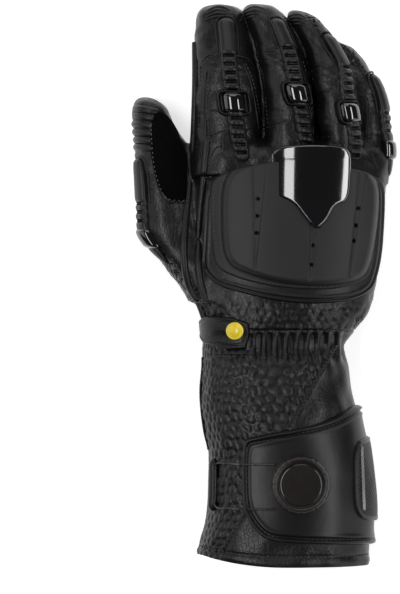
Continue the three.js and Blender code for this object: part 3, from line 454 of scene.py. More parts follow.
def armour_seat(x, y):
    """Height of the hand's back under the armour, carried on level past the knuckles."""
    y = np.minimum(y, HAND_END * HAND_LENGTH * 0.9)
    middle, half_width, height, half_height = hand_section(y)
    share = np.clip(np.abs(x - middle) / half_width, 0, 0.995)
    return height + half_height * (1 - share ** SQUARENESS) ** (1 / SQUARENESS)


def on_armour(places, lift):
    """Places in plan over the armour's seat, lifted straight up."""
    x, y = places[..., 0], places[..., 1]
    return np.stack([x, y, armour_seat(x, y) + lift], -1)


# Meshes
def make_piece(name, points, faces, material, body="root"):
    """Mesh object from points from the wrist seam, its faces turned outward."""
    points = np.asarray(points, float) + ORIGIN
    faces = [tuple(face) for face in faces]
    mesh = bpy.data.meshes.new(name)
    if signed_volume(points, faces) < 0:
        faces = [face[::-1] for face in faces]
    mesh.from_pydata(points, [], faces)
    mesh.validate()
    mesh.polygons.foreach_set("use_smooth", [True] * len(mesh.polygons))
    mesh.materials.append(material)
    mesh.update()
    piece = bpy.data.objects.new(name, mesh)
    bpy.context.scene.collection.objects.link(piece)
    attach(piece, body)
    return piece


def signed_volume(points, faces):
    total = 0.0
    for count in {len(face) for face in faces}:
        ring = np.array([face for face in faces if len(face) == count])
        first = points[ring[:, 0]]
        for i in range(1, count - 1):
            total += (first * np.cross(points[ring[:, i]], points[ring[:, i + 1]])).sum()
    return total


def add_attribute(piece, name, values):
    attribute = piece.data.attributes.new(name, "FLOAT", "POINT")
    attribute.data.foreach_set("value", np.asarray(values, np.float32))


def wrap_faces(rows, columns, closed_rows=False):
    """Quads of a grid whose columns close on themselves, and its rows too if asked."""
    i = np.arange(rows if closed_rows else rows - 1)[:, None]
    k = np.arange(columns)[None, :]
    a = i * columns + k
    b = i * columns + (k + 1) % columns
    c = ((i + 1) % rows) * columns + (k + 1) % columns
    d = ((i + 1) % rows) * columns + k
    return np.stack(np.broadcast_arrays(a, b, c, d), -1).reshape(-1, 4).tolist()


def closed_curve(corners, count, rounds=3):
    """Closed outline through rounded corners, in evenly spaced points."""
    line = np.asarray(corners, float)
    for _ in range(rounds):
        after = np.roll(line, -1, 0)
        line = np.stack([line * 0.75 + after * 0.25, line * 0.25 + after * 0.75], 1).reshape(-1, 2)
    loop = np.vstack([line, line[:1]])
    along = np.concatenate([[0], np.cumsum(np.linalg.norm(np.diff(loop, axis=0), axis=1))])
    at = np.linspace(0, along[-1], count, endpoint=False)
    return np.stack([np.interp(at, along, loop[:, i]) for i in range(2)], -1)


def smooth_path(points, spacing):
    """Open path through its points on a smooth curve, in evenly spaced points."""
    points = np.asarray(points, float)
    padded = np.vstack([2 * points[0] - points[1], points, 2 * points[-1] - points[-2]])
    fine = []
    for i in range(1, len(padded) - 2):
        p0, p1, p2, p3 = padded[i - 1:i + 3]
        t = np.linspace(0, 1, 12, endpoint=False)[:, None]
        fine.append(0.5 * (2 * p1 + (p2 - p0) * t + (2 * p0 - 5 * p1 + 4 * p2 - p3) * t ** 2
                           + (3 * p1 - p0 - 3 * p2 + p3) * t ** 3))
    line = np.vstack(fine + [points[-1:]])
    along = np.concatenate([[0], np.cumsum(np.linalg.norm(np.diff(line, axis=0), axis=1))])
    at = np.linspace(0, along[-1], max(int(along[-1] / spacing), 2) + 1)
    return np.stack([np.interp(at, along, line[:, i]) for i in range(line.shape[1])], -1)


def edge_distance(places, outline):
    """Distance of places from a closed outline."""
    shape = places.shape[:-1]
    flat = places.reshape(-1, 2)
    best = np.full(len(flat), np.inf)
    ends = np.roll(outline, -1, 0)
    for a, b in zip(outline, ends):
        ab = b - a
        t = np.clip(((flat - a) @ ab) / max(ab @ ab, 1e-16), 0, 1)
        best = np.minimum(best, ((flat - a - t[:, None] * ab) ** 2).sum(-1))
    return np.sqrt(best).reshape(shape)


def is_within(places, outline):
    """Whether places lie inside a closed outline."""
    x, y = places[..., 0], places[..., 1]
    found = np.zeros(x.shape, bool)
    for a, b in zip(outline, np.roll(outline, -1, 0)):
        if a[1] == b[1]:
            continue
        crosses = (a[1] > y) != (b[1] > y)
        found ^= crosses & (x < (b[0] - a[0]) * (y - a[1]) / (b[1] - a[1]) + a[0])
    return found


def depth_in(places, outline):
    """Distance inside a closed outline, negative outside it."""
    return np.where(is_within(places, outline), 1, -1) * edge_distance(places, outline)


def slab(name, outline, centre, place, height, sink, material, rings=36, crowd=1.5):
    """Closed piece over a star-shaped outline: rings run from its edge to its centre.

    place(places, lift) puts it on what carries it, and height(places, edge distance) is its thickness.
    """
    count = len(outline)
    shares = 1 - np.linspace(0, 1, rings, endpoint=False) ** crowd
    places = centre + shares[:, None, None] * (outline - centre)
    away = edge_distance(places, outline)
    top = place(places, height(places, away))
    hub = place(centre[None], height(centre[None], edge_distance(centre[None], outline)))
    under = places[np.unique(np.linspace(0, rings - 1, min(rings, 6)).astype(int))]
    low = place(under, np.full(under.shape[:2], -sink))
    low_hub = place(centre[None], np.array([-sink]))
    points = np.vstack([low[::-1].reshape(-1, 3), top.reshape(-1, 3), low_hub, hub])
    faces = wrap_faces(rings + len(under), count)
    last = (rings + len(under)) * count
    for k in range(count):
        after = (k + 1) % count
        faces.append((last, after, k))
        faces.append((last + 1, last - count + k, last - count + after))
    return make_piece(name, points, faces, material)


def lathe(name, profile, centre, material, columns, body="root", squared=None):
    """Turned piece about a vertical axis. squared(angle) scales its radius."""
    angle = np.linspace(0, 2 * math.pi, columns, endpoint=False)
    scale = np.ones(columns) if squared is None else squared(angle)
    rings = []
    for radius, z, follows in profile:
        r = radius * (1 + (scale - 1) * follows)
        rings.append(np.stack([r * np.cos(angle), r * np.sin(angle), np.full(columns, z)], -1))
    points = np.concatenate(rings)
    low = np.array([[0, 0, profile[0][1]]])
    high = np.array([[0, 0, profile[-1][1]]])
    points = np.vstack([points, low, high]) + np.asarray(centre)
    faces = wrap_faces(len(profile), columns)
    last = len(profile) * columns
    for k in range(columns):
        after = (k + 1) % columns
        faces.append((last, after, k))
        faces.append((last + 1, last - columns + k, last - columns + after))
    return make_piece(name, points, faces, material, body)


# Geometry Nodes for what follows a path
def new_tree(name, inputs):
    """Empty geometry tree with named inputs, its group input and output."""
    tree = bpy.data.node_groups.new(name, "GeometryNodeTree")
    tree.interface.new_socket(name="Paths", in_out="INPUT", socket_type="NodeSocketGeometry")
    for label, kind, default in inputs:
        socket = tree.interface.new_socket(name=label, in_out="INPUT", socket_type=kind)
        if default is not None:
            socket.default_value = default
    tree.interface.new_socket(name="Geometry", in_out="OUTPUT", socket_type="NodeSocketGeometry")
    return tree, tree.nodes.new("NodeGroupInput"), tree.nodes.new("NodeGroupOutput")


def stitch_tree():
    """Rows of short thread stitches along paths."""
    tree, given, result = new_tree("stitch_rows", [
        ("Pitch", "NodeSocketFloat", 0.0024), ("Length", "NodeSocketFloat", 0.0017),
        ("Thread", "NodeSocketFloat", 0.0006), ("Material", "NodeSocketMaterial", None),
    ])
    link = tree.links.new
    curve = tree.nodes.new("GeometryNodeMeshToCurve")
    spaced = tree.nodes.new("GeometryNodeResampleCurve")
    spaced.mode = "LENGTH"
    tangent = tree.nodes.new("GeometryNodeInputTangent")
    turn = tree.nodes.new("FunctionNodeAlignRotationToVector")
    turn.axis = "Z"
    bead = tree.nodes.new("GeometryNodeMeshUVSphere")
    bead.inputs["Segments"].default_value = 6
    bead.inputs["Rings"].default_value = 5
    bead.inputs["Radius"].default_value = 0.5
    size = tree.nodes.new("ShaderNodeCombineXYZ")
    spread = tree.nodes.new("GeometryNodeInstanceOnPoints")
    smooth = tree.nodes.new("GeometryNodeSetShadeSmooth")
    joined = tree.nodes.new("GeometryNodeRealizeInstances")
    painted = tree.nodes.new("GeometryNodeSetMaterial")
    link(given.outputs["Paths"], curve.inputs[0])
    link(curve.outputs[0], spaced.inputs["Curve"])
    link(given.outputs["Pitch"], spaced.inputs["Length"])
    link(tangent.outputs[0], turn.inputs["Vector"])
    link(given.outputs["Thread"], size.inputs["X"])
    link(given.outputs["Thread"], size.inputs["Y"])
    link(given.outputs["Length"], size.inputs["Z"])
    link(spaced.outputs[0], spread.inputs["Points"])
    link(bead.outputs["Mesh"], spread.inputs["Instance"])
    link(turn.outputs[0], spread.inputs["Rotation"])
    link(size.outputs[0], spread.inputs["Scale"])
    link(spread.outputs[0], joined.inputs[0])
    link(joined.outputs[0], smooth.inputs["Geometry"])
    link(smooth.outputs[0], painted.inputs["Geometry"])
    link(given.outputs["Material"], painted.inputs["Material"])
    link(painted.outputs[0], result.inputs[0])
    return tree


def welt_tree():
    """Round welts, pleats and wires swept along paths."""
    tree, given, result = new_tree("welts", [
        ("Radius", "NodeSocketFloat", 0.0005), ("Sides", "NodeSocketInt", 8),
        ("Material", "NodeSocketMaterial", None),
    ])
    link = tree.links.new
    curve = tree.nodes.new("GeometryNodeMeshToCurve")
    ring = tree.nodes.new("GeometryNodeCurvePrimitiveCircle")
    swept = tree.nodes.new("GeometryNodeCurveToMesh")
    swept.inputs["Fill Caps"].default_value = True
    smooth = tree.nodes.new("GeometryNodeSetShadeSmooth")
    joined = tree.nodes.new("GeometryNodeRealizeInstances")
    painted = tree.nodes.new("GeometryNodeSetMaterial")
    link(given.outputs["Paths"], curve.inputs[0])
    link(given.outputs["Sides"], ring.inputs["Resolution"])
    link(given.outputs["Radius"], ring.inputs["Radius"])
    link(curve.outputs[0], swept.inputs["Curve"])
    link(ring.outputs[0], swept.inputs["Profile Curve"])
    link(swept.outputs[0], smooth.inputs["Geometry"])
    link(smooth.outputs[0], joined.inputs[0])
    link(joined.outputs[0], painted.inputs["Geometry"])
    link(given.outputs["Material"], painted.inputs["Material"])
    link(painted.outputs[0], result.inputs[0])
    return tree


def along_paths(name, tree, paths, values, body="root"):
    """Piece that a geometry tree makes along paths of points from the wrist seam, as a plain mesh."""
    points, edges = [], []
    for path in paths:
        first = len(points)
        points.extend((np.asarray(path) + ORIGIN).tolist())
        edges.extend((first + i, first + i + 1) for i in range(len(path) - 1))
    guide = bpy.data.meshes.new(name + "_path")
    guide.from_pydata(points, edges, [])
    piece = bpy.data.objects.new(name, guide)
    bpy.context.scene.collection.objects.link(piece)
    modifier = piece.modifiers.new("paths", "NODES")
    modifier.node_group = tree
    for item in tree.interface.items_tree:
        if item.in_out == "INPUT" and item.name in values:
            modifier[item.identifier] = values[item.name]
    bpy.context.view_layer.update()
    evaluated = piece.evaluated_get(bpy.context.evaluated_depsgraph_get())
    mesh = bpy.data.meshes.new_from_object(evaluated)
    piece.modifiers.remove(modifier)
    piece.data = mesh
    bpy.data.meshes.remove(guide)
    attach(piece, body)
    return piece


_trees = {}


def tree_for(kind):
    if kind not in _trees:
        _trees[kind] = {"stitch": stitch_tree, "welt": welt_tree}[kind]()
    return _trees[kind]


def stitches(name, paths, material, pitch=0.0024, length=0.0018, thread=0.0007):
    values = {"Pitch": pitch, "Length": length, "Thread": thread, "Material": material}
    return along_paths(name, tree_for("stitch"), paths, values)


def welts(name, paths, material, radius, sides=8):
    values = {"Radius": radius, "Sides": sides, "Material": material}
    return along_paths(name, tree_for("welt"), paths, values)


# Materials
class Painter:
    """Adds nodes to one tree."""

    def __init__(self, tree):
        self.tree = tree
        self.made = 0

    def add(self, kind, inputs=None, **settings):
        node = self.tree.nodes.new(kind)
        node.location = (200 * self.made, 0)
        self.made += 1
        for key, value in settings.items():
            setattr(node, key, value)
        for key, value in (inputs or {}).items():
            self.give(node.inputs[key], value)
        return node

    def give(self, socket, value):
        if isinstance(value, bpy.types.NodeSocket):
            self.tree.links.new(value, socket)
        else:
            socket.default_value = value

    def math(self, operation, a, b=0.0, clamp=False):
        node = self.add("ShaderNodeMath", {0: a, 1: b}, operation=operation)
        node.use_clamp = clamp
        return node.outputs[0]

    def remap(self, value, low, high, to_low, to_high):
        node = self.add("ShaderNodeMapRange", {0: value, 1: low, 2: high, 3: to_low, 4: to_high})
        return node.outputs[0]

    def mix(self, factor, a, b):
        node = self.add("ShaderNodeMix", {0: factor, 6: a, 7: b}, data_type="RGBA")
        return node.outputs[2]


def shader_group(name, inputs, outputs, build):
    """Shader node group with named inputs and outputs, made once."""
    if name in bpy.data.node_groups:
        return bpy.data.node_groups[name]
    tree = bpy.data.node_groups.new(name, "ShaderNodeTree")
    for label, kind, default in inputs:
        socket = tree.interface.new_socket(name=label, in_out="INPUT", socket_type=kind)
        if default is not None:
            socket.default_value = default
    for label in outputs:
        tree.interface.new_socket(name=label, in_out="OUTPUT", socket_type="NodeSocketFloat")
    painter = Painter(tree)
    given = painter.add("NodeGroupInput")
    result = painter.add("NodeGroupOutput")
    for label, value in build(painter, given.outputs).items():
        tree.links.new(value, result.inputs[label])
    return tree


def build_grain(p, given):
    """Pores and creases of leather: a height, and a tone that is 0 in the creases."""
    fine = p.add("ShaderNodeTexVoronoi", {"Vector": given["Vector"], "Scale": given["Pores"]}, feature="F1")
    crease = p.add("ShaderNodeTexVoronoi", {
        "Vector": given["Vector"], "Scale": p.math("MULTIPLY", given["Pores"], 0.42),
    }, feature="DISTANCE_TO_EDGE")
    soft = p.add("ShaderNodeTexNoise", {
        "Vector": given["Vector"], "Scale": p.math("MULTIPLY", given["Pores"], 0.15),
        "Detail": 3.0, "Distortion": 0.6,
    })
    edge = p.remap(crease.outputs["Distance"], 0.0, 0.12, 0.0, 1.0)
    pores = p.math("MULTIPLY", fine.outputs["Distance"], 0.35)
    height = p.math("ADD", p.math("MULTIPLY", edge, 0.6), pores)
    height = p.math("ADD", height, p.math("MULTIPLY", soft.outputs[0], given["Folds"]))
    return {"Height": height, "Tone": p.math("MULTIPLY", edge, soft.outputs[0])}


def build_wear(p, given):
    """Faint rubbed patches and dust: a mask between 0 and 1."""
    broad = p.add("ShaderNodeTexNoise", {"Vector": given["Vector"], "Scale": given["Patches"], "Detail": 5.0})
    specks = p.add("ShaderNodeTexNoise", {
        "Vector": given["Vector"], "Scale": p.math("MULTIPLY", given["Patches"], 22.0), "Detail": 2.0,
    })
    rubbed = p.remap(broad.outputs[0], 0.45, 0.75, 0.0, 1.0)
    dust = p.remap(specks.outputs[0], 0.6, 0.78, 0.0, 0.6)
    return {"Rubbed": rubbed, "Dust": p.math("MULTIPLY", dust, rubbed, True)}


def grain_group():
    return shader_group("leather_grain", [
        ("Vector", "NodeSocketVector", None), ("Pores", "NodeSocketFloat", 900.0),
        ("Folds", "NodeSocketFloat", 0.8),
    ], ["Height", "Tone"], build_grain)


def wear_group():
    return shader_group("wear_and_dust", [
        ("Vector", "NodeSocketVector", None), ("Patches", "NodeSocketFloat", 30.0),
    ], ["Rubbed", "Dust"], build_wear)


def rgba(colour):
    return (*tuple(colour)[:3], 1.0)


def finish(name, dark, light, roughness, grain=0.0, pores=900.0, folds=0.8, patches=30.0,
           cells=None, **shader):
    """Procedural material: two tones, leather grain or moulded texture, wear, and a Principled shader.

    cells names a point attribute whose low values darken the colour as painted shade in creases and notches.
    roughness is a pair of limits.
    """
    name = "finish_" + name
    if name in bpy.data.materials:
        return bpy.data.materials[name]
    material = bpy.data.materials.new(name)
    material.use_nodes = True
    material.diffuse_color = rgba(light)
    tree = material.node_tree
    tree.nodes.clear()
    p = Painter(tree)
    output = p.add("ShaderNodeOutputMaterial")
    principled = p.add("ShaderNodeBsdfPrincipled", shader)
    where = p.add("ShaderNodeTexCoord").outputs["Object"]
    grains = p.add("ShaderNodeGroup", node_tree=grain_group())
    p.give(grains.inputs["Vector"], where)
    p.give(grains.inputs["Pores"], pores)
    p.give(grains.inputs["Folds"], folds)
    wear = p.add("ShaderNodeGroup", node_tree=wear_group())
    p.give(wear.inputs["Vector"], where)
    p.give(wear.inputs["Patches"], patches)
    tone = p.math("ADD", p.math("MULTIPLY", grains.outputs["Tone"], 0.5), wear.outputs["Rubbed"], True)
    tone = p.math("ADD", tone, p.math("MULTIPLY", wear.outputs["Dust"], 0.5), True)
    colour = p.mix(tone, rgba(dark), rgba(light))
    # painted shade: where the named point attribute is low, the colour goes toward a fifth of the dark tone,
    # darkening creases and notches
    if cells:
        attribute = p.add("ShaderNodeAttribute", attribute_name=cells)
        colour = p.mix(attribute.outputs["Fac"], rgba(np.array(dark) * 0.2), colour)
    p.give(principled.inputs["Base Color"], colour)
    rough = p.math("SUBTRACT", wear.outputs["Rubbed"], grains.outputs["Tone"], True)
    p.give(principled.inputs["Roughness"], p.remap(rough, 0.0, 1.0, *roughness))
    if grain:
        bump = p.add("ShaderNodeBump", {
            "Strength": 1.0, "Distance": grain, "Height": grains.outputs["Height"],
        })
        p.give(principled.inputs["Normal"], bump.outputs[0])
    p.give(output.inputs["Surface"], principled.outputs[0])
    return material


class LeatherSettings(bpy.types.PropertyGroup):
    """Leather of the hand, fingers and cuff."""
    cell: bpy.props.FloatProperty(
        name="Skin step", description="Size of the facets of the hand's skin", default=0.0013,
        min=0.0008, max=0.004, unit="LENGTH")
    wrinkle: bpy.props.FloatProperty(
        name="Wrinkle", description="Height of the soft unevenness of the leather", default=0.00035,
        unit="LENGTH")
    scale_size: bpy.props.FloatProperty(
        name="Cell size", description="Size of the embossed cells of the cuff", default=0.0062, unit="LENGTH")
    scale_depth: bpy.props.FloatProperty(
        name="Cell depth", description="Depth of the creases between the cells", default=0.0005,
        unit="LENGTH")
    gather_pitch: bpy.props.FloatProperty(
        name="Gather pitch", description="Distance between the folds at the wrist", default=0.0064,
        unit="LENGTH")
    gather_depth: bpy.props.FloatProperty(
        name="Gather depth", description="Depth of the folds at the wrist", default=0.0027, unit="LENGTH")
    dark: bpy.props.FloatVectorProperty(
        name="Dark tone", description="Colour in the creases", default=(0.0035, 0.0035, 0.0038),
        subtype="COLOR", min=0, max=1)
    light: bpy.props.FloatVectorProperty(
        name="Light tone", description="Colour where the leather is rubbed", default=(0.0085, 0.0083, 0.0088),
        subtype="COLOR", min=0, max=1)


class ArmourSettings(bpy.types.PropertyGroup):
    """Moulded armour of the knuckles and fingers."""
    shell_rise: bpy.props.FloatProperty(
        name="Shell rise", description="Height of the dome over its flange", default=0.0055, unit="LENGTH")
    strip_width: bpy.props.FloatProperty(
        name="Strip width", description="Width of a finger's strip", default=0.0096, unit="LENGTH")
    strip_height: bpy.props.FloatProperty(
        name="Strip height", description="Height of a finger's strip", default=0.0036, unit="LENGTH")
    notch_depth: bpy.props.FloatProperty(
        name="Notch depth", description="Depth of the strip's notches", default=0.0024, unit="LENGTH")
    shell_colour: bpy.props.FloatVectorProperty(
        name="Shell colour", description="Colour of the matte shell", default=(0.0095, 0.0094, 0.0094),
        subtype="COLOR", min=0, max=1)
    strip_colour: bpy.props.FloatVectorProperty(
        name="Strip colour", description="Colour of the rubber strips", default=(0.0125, 0.0122, 0.0138),
        subtype="COLOR", min=0, max=1)


class ClosureSettings(bpy.types.PropertyGroup):
    """Strap, flap, snap and lace dial."""
    flap_rise: bpy.props.FloatProperty(
        name="Flap thickness", description="Thickness of the closure flap", default=0.0024, unit="LENGTH")
    piping: bpy.props.FloatProperty(
        name="Piping", description="Radius of the flap's rolled edge", default=0.0012, unit="LENGTH")
    snap_colour: bpy.props.FloatVectorProperty(
        name="Snap colour", description="Enamel of the snap", default=(0.87, 0.66, 0.03),
        subtype="COLOR", min=0, max=1)
    dial_colour: bpy.props.FloatVectorProperty(
        name="Dial colour", description="Plastic of the lace dial", default=(0.016, 0.0135, 0.0122),
        subtype="COLOR", min=0, max=1)


class StageSettings(bpy.types.PropertyGroup):
    """Camera, floor and lights."""
    camera_height: bpy.props.FloatProperty(
        name="Camera height", description="Height of the camera over the glove", default=2.0, unit="LENGTH")
    floor_colour: bpy.props.FloatVectorProperty(
        name="Floor colour", description="Colour of the floor", default=(0.9, 0.9, 0.9),
        subtype="COLOR", min=0, max=1)
    light_power: bpy.props.FloatProperty(
        name="Light power", description="Scale of all the lights", default=1.0, min=0)


def leather_material(kind="plain"):
    """Leather finishes: plain on the fingers, soft on the padded pieces, cells on the cuff with painted shade
    in the creases between its cells.
    """
    settings = bpy.context.scene.gauntlet_leather
    kinds = {
        "plain": {"grain": 0.00008, "pores": 1000.0, "folds": 3.5, "roughness": (0.34, 0.48)},
        "soft": {"grain": 0.00006, "pores": 1200.0, "folds": 3.0, "roughness": (0.34, 0.46)},
        # the cells finish darkens the creases between the embossed cells through the cells attribute: painted
        # shade
        "cells": {"grain": 0.00008, "pores": 1000.0, "folds": 3.0, "roughness": (0.32, 0.46),
                  "cells": "cells"},
        "flap": {"grain": 0.000015, "pores": 1400.0, "folds": 5.0, "roughness": (0.34, 0.42)},
    }
    return finish("leather_" + kind, settings.dark, settings.light, **kinds[kind],
                  **{"Specular IOR Level": 0.3})


def suede_material():
    return finish("suede", (0.0004, 0.0004, 0.0004), (0.0022, 0.0022, 0.0023), (0.85, 0.98), grain=0.0002,
                  pores=1500.0, **{"Specular IOR Level": 0.05})


def thread_material(kind="dark"):
    tones = {"dark": ((0.014, 0.014, 0.014), (0.04, 0.04, 0.04)),
             # the light thread is real stitching whose light tone is painted highlight, standing for glints
             # along the thumb's seam
             "light": ((0.07, 0.07, 0.07), (0.16, 0.16, 0.16))}
    return finish("thread_" + kind, *tones[kind], (0.4, 0.6), grain=0.00006, pores=2500.0)


def shell_material():
    colour = np.array(bpy.context.scene.gauntlet_armour.shell_colour)
    return finish("shell_matte", colour * 0.85, colour * 1.15, (0.5, 0.58), grain=0.00001, pores=3000.0,
                  **{"Specular IOR Level": 0.35})


def strip_material():
    colour = np.array(bpy.context.scene.gauntlet_armour.strip_colour)
    # the strip's colour is darkened toward near black in its notches by a point attribute: painted shade
    return finish("strip_rubber", colour * 0.7, colour * 1.2, (0.34, 0.5), grain=0.00001, pores=2500.0,
                  cells="painted_slot_shade", **{"Specular IOR Level": 0.3})


def gloss_material():
    return finish("gloss_black", (0.0012, 0.0012, 0.0015), (0.0025, 0.0025, 0.003), (0.09, 0.13),
                  **{"Coat Weight": 1.0, "Coat Roughness": 0.06})


def dial_material():
    colour = np.array(bpy.context.scene.gauntlet_closure.dial_colour)
    return finish("dial_plastic", colour * 0.85, colour * 1.15, (0.28, 0.4), grain=0.00001, pores=3000.0,
                  **{"Specular IOR Level": 0.35})


# Hand
def hand_scales(points):
    """Embossed cells of the hand's leather near the wrist."""
    settings = bpy.context.scene.gauntlet_leather
    x, y = points[:, 0], points[:, 1]
    pattern = scales(x, y, settings.scale_size * 0.8)
    near = 1 - ease(y, 0.012, 0.02)
    return pattern, near * ease(points[:, 2], 0.02, 0.035)


class GAUNTLET_OT_hand(bpy.types.Operator):
    """Make the hollow leather hand with its fingers"""
    bl_idname = "gauntlet.hand"
    bl_label = "Hand"

    def execute(self, context):
        settings = context.scene.gauntlet_leather
        step = settings.cell
        low = (-0.0935, -0.003, -0.003)
        high = (0.0625, 0.194, 0.051)
        points, faces = surface_net(hollow_glove, low, high, step)
        points = settle(settle(points, hollow_glove, step), hollow_glove, step)
        x, y, z = points.T
        grown = glove_field(x, y, z)
        skin = np.abs(grown) < LEATHER * 0.4
        small = step * 0.2
        normal = np.stack([
            glove_field(x + small, y, z) - grown, glove_field(x, y + small, z) - grown,
            glove_field(x, y, z + small) - grown,
        ], -1)
        normal /= np.maximum(np.linalg.norm(normal, axis=-1, keepdims=True), 1e-9)
        lift = settings.wrinkle * (ripple(points, 0.017, 5) + 0.5 * ripple(points, 0.007, 6))
        lift += self.joint_folds(points, settings.wrinkle)
        pattern, shown = hand_scales(points)
        lift += settings.scale_depth * shown * (pattern - 1)
        lift = np.where(skin & (z > 0.002) & (y > SEAM_GAP), lift, 0) * ease(z, 0.002, 0.008)
        points = points + normal * lift[:, None]
        points[:, 2] = np.maximum(points[:, 2], 0)
        hand = make_piece("leather_hand", points, faces, leather_material("cells"))
        # the cells attribute is low in the creases of the embossed cells, where the finish paints shade
        add_attribute(hand, "cells", 1 - shown * (1 - pattern))
        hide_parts("hand_leather")
        return {"FINISHED"}

    @staticmethod
    def joint_folds(points, depth):
        """Creases across the fingers where they bend, and down the side of the thumb."""
        x, y, _ = points.T
        folds = np.zeros(len(points))
        for name, joints in {"index": (0.66, 0.8), "middle": (0.67, 0.82), "ring": (0.63, 0.77),
                             "little": (0.6, 0.72), "thumb": (0.42, 0.55)}.items():
            middle, half_width, _, _ = finger_section(name, y)
            beside = 1 - ease(np.abs(x - middle) / half_width, 1.0, 1.15)
            for joint in joints:
                near = (y / HAND_LENGTH - joint) / 0.028
                folds += beside * np.exp(-near ** 2) * np.cos(near * 9 + x * 300) * 0.7
        return folds * depth


SKIN_PATHS = {
    # Welts of the finger panels and the back of the hand, in pixels of the photograph
    "index_tip": [(202, 62), (206, 57), (213, 55), (220, 55)],
    "index_tip_right": [(236, 56), (243, 57), (249, 60), (254, 66)],
    "index_panel_low": [(206, 136), (213, 135), (222, 132), (229, 131)],
    "index_panel_low_right": [(244, 131), (251, 130), (259, 133)],
    "index_left": [(206, 72), (205, 84), (204, 98), (204, 112), (205.5, 124), (206, 136)],
    "index_right": [(243, 64), (249, 78), (253, 94), (256, 110), (258, 124), (260, 136)],
    "middle_tip": [(253, 56), (260, 54), (267, 52), (274, 51)],
    "middle_panel_low": [(262, 127), (270, 126), (278, 124), (285, 122)],
    "middle_left": [(254, 44), (256, 60), (260, 74), (262, 86), (263, 100), (264, 114), (265, 126)],
    "middle_right": [(300, 62), (303, 74), (306, 88), (308, 100), (310, 114), (312, 126)],
    "ring_tip": [(310, 68), (317, 66), (324, 67), (329, 70)],
    "ring_panel": [(313, 93), (320, 92), (328, 92)],
    "ring_low": [(312, 137), (322, 137), (332, 135)],
    "ring_left": [(309, 70), (311, 86), (311, 104), (312, 120), (313, 134)],
    "ring_right": [(344, 60), (349, 76), (352, 94), (354, 112), (356, 128), (357, 144)],
    "little_left": [(362, 86), (366, 100), (367, 118), (366, 134), (365, 148)],
    "little_low": [(370, 150), (374, 162), (381, 176)],
    "knuckle_left": [(222, 146), (215, 150), (210, 158)],
    "thumb_front": [(150, 128), (151, 146), (153, 166), (157, 184), (163, 198), (168, 202), (176, 203),
                    (184, 203)],
}
STITCHED = ("index_left", "middle_left", "middle_right", "index_panel_low", "ring_left", "index_tip",
            "middle_panel_low", "ring_right", "ring_low", "little_left", "index_right")
PLEATS = {
    # Arcs across the fingertips: middle pixel, half width, how many and their pitch, in pixels
    "index": ((219.0, 5.0), 15.0, 4, 3.6),
    "middle": ((255.0, 6.0), 15.0, 4, 3.5),
    "ring": ((296.0, 13.0), 13.0, 4, 3.5),
}
ROLLED_SEAMS = [
    [(195.5, 42), (195.5, 90), (193, 150), (187, 205), (184, 250), (188, 283), (199.5, 304), (206, 322)],
    [(207, 142), (203.5, 180), (200, 217), (198, 252), (200, 280), (206, 300)],
]
THUMB_PLEATS = (111.0, 118.0, 126.5, 134.5, 142.5, 150.0)  # rows of pixels


def back_path(pixels, spacing=0.0008, lift=0.0):
    """Path on the back of the glove through pixels of the photograph."""
    return on_back(smooth_path(spot(pixels), spacing), lift)


class GAUNTLET_OT_seams(bpy.types.Operator):
    """Make the welts, pleats and stitches of the hand"""
    bl_idname = "gauntlet.seams"
    bl_label = "Seams"

    def execute(self, context):
        leather = leather_material("plain")
        paths = [back_path(pixels) for pixels in SKIN_PATHS.values()]
        self.place(welts("finger_welts", paths, leather, 0.00055))
        rows = [back_path(np.array(SKIN_PATHS[name]) + (3.0, 1.0), lift=0.0001) for name in STITCHED]
        rows.append(back_path(np.array(SKIN_PATHS["thumb_front"]) + (3.2, -1.0), lift=0.0003))
        self.place(stitches("finger_stitches", rows, thread_material()))
        # stitches in light thread as painted glints along the thumb's seam
        glints = [back_path(np.array(SKIN_PATHS["thumb_front"]) + (1.5, -2.0), lift=0.0016)]
        self.place(stitches("thumb_painted_glint_stitches", glints, thread_material("light"), pitch=0.0027, length=0.0011,
                            thread=0.0005))
        self.place(welts("fingertip_pleats", self.fingertip_pleats(), leather, 0.00085))
        self.place(welts("thumb_pleats", self.thumb_pleats(), leather, 0.0026, sides=12))
        seams = [back_path(pixels) for pixels in ROLLED_SEAMS]
        self.place(welts("rolled_seams", seams, leather, 0.0022, sides=14))
        lines = [back_path(np.array(pixels) + (4.2, 0.0), lift=0.0001) for pixels in ROLLED_SEAMS]
        self.place(stitches("rolled_seam_stitches", lines, thread_material(), pitch=0.0026))
        return {"FINISHED"}

    @staticmethod
    def place(piece):
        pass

    @staticmethod
    def fingertip_pleats():
        paths = []
        across = np.linspace(-1, 1, 13)
        for (x, y), half, count, pitch in PLEATS.values():
            for i in range(count):
                reach = half * (0.72 + 0.09 * i)
                down = y + pitch * i + 0.3 * pitch * count * across ** 2
                paths.append(back_path(np.stack([x + across * reach, down], -1), lift=-0.00035))
        return paths

    @staticmethod
    def thumb_pleats():
        """Folds across the outer side of the thumb."""
        paths = []
        for row in THUMB_PLEATS:
            y = (SEAM_PIXEL[1] - row) * PIXEL
            angle = np.linspace(1.15, 3.3, 22)
            tilt = -0.0022 * np.cos(angle)
            section = finger_section("thumb", np.full(angle.shape, y) + tilt)
            shrink = 1 - 0.25 * ease(y / HAND_LENGTH, 0.6, 0.7)
            x, z, _, _ = around(section, angle, -0.0012)
            x = section[0] + (x - section[0]) * shrink
            paths.append(np.stack([x, y + tilt, np.maximum(z, 0.003)], -1))
        return paths


# Cuff
UPPER_SEAM = [(336.4, 346), (320, 371), (304, 397), (289, 424)]
LOWER_SEAM = [(248, 505), (236, 526), (221, 552.6)]


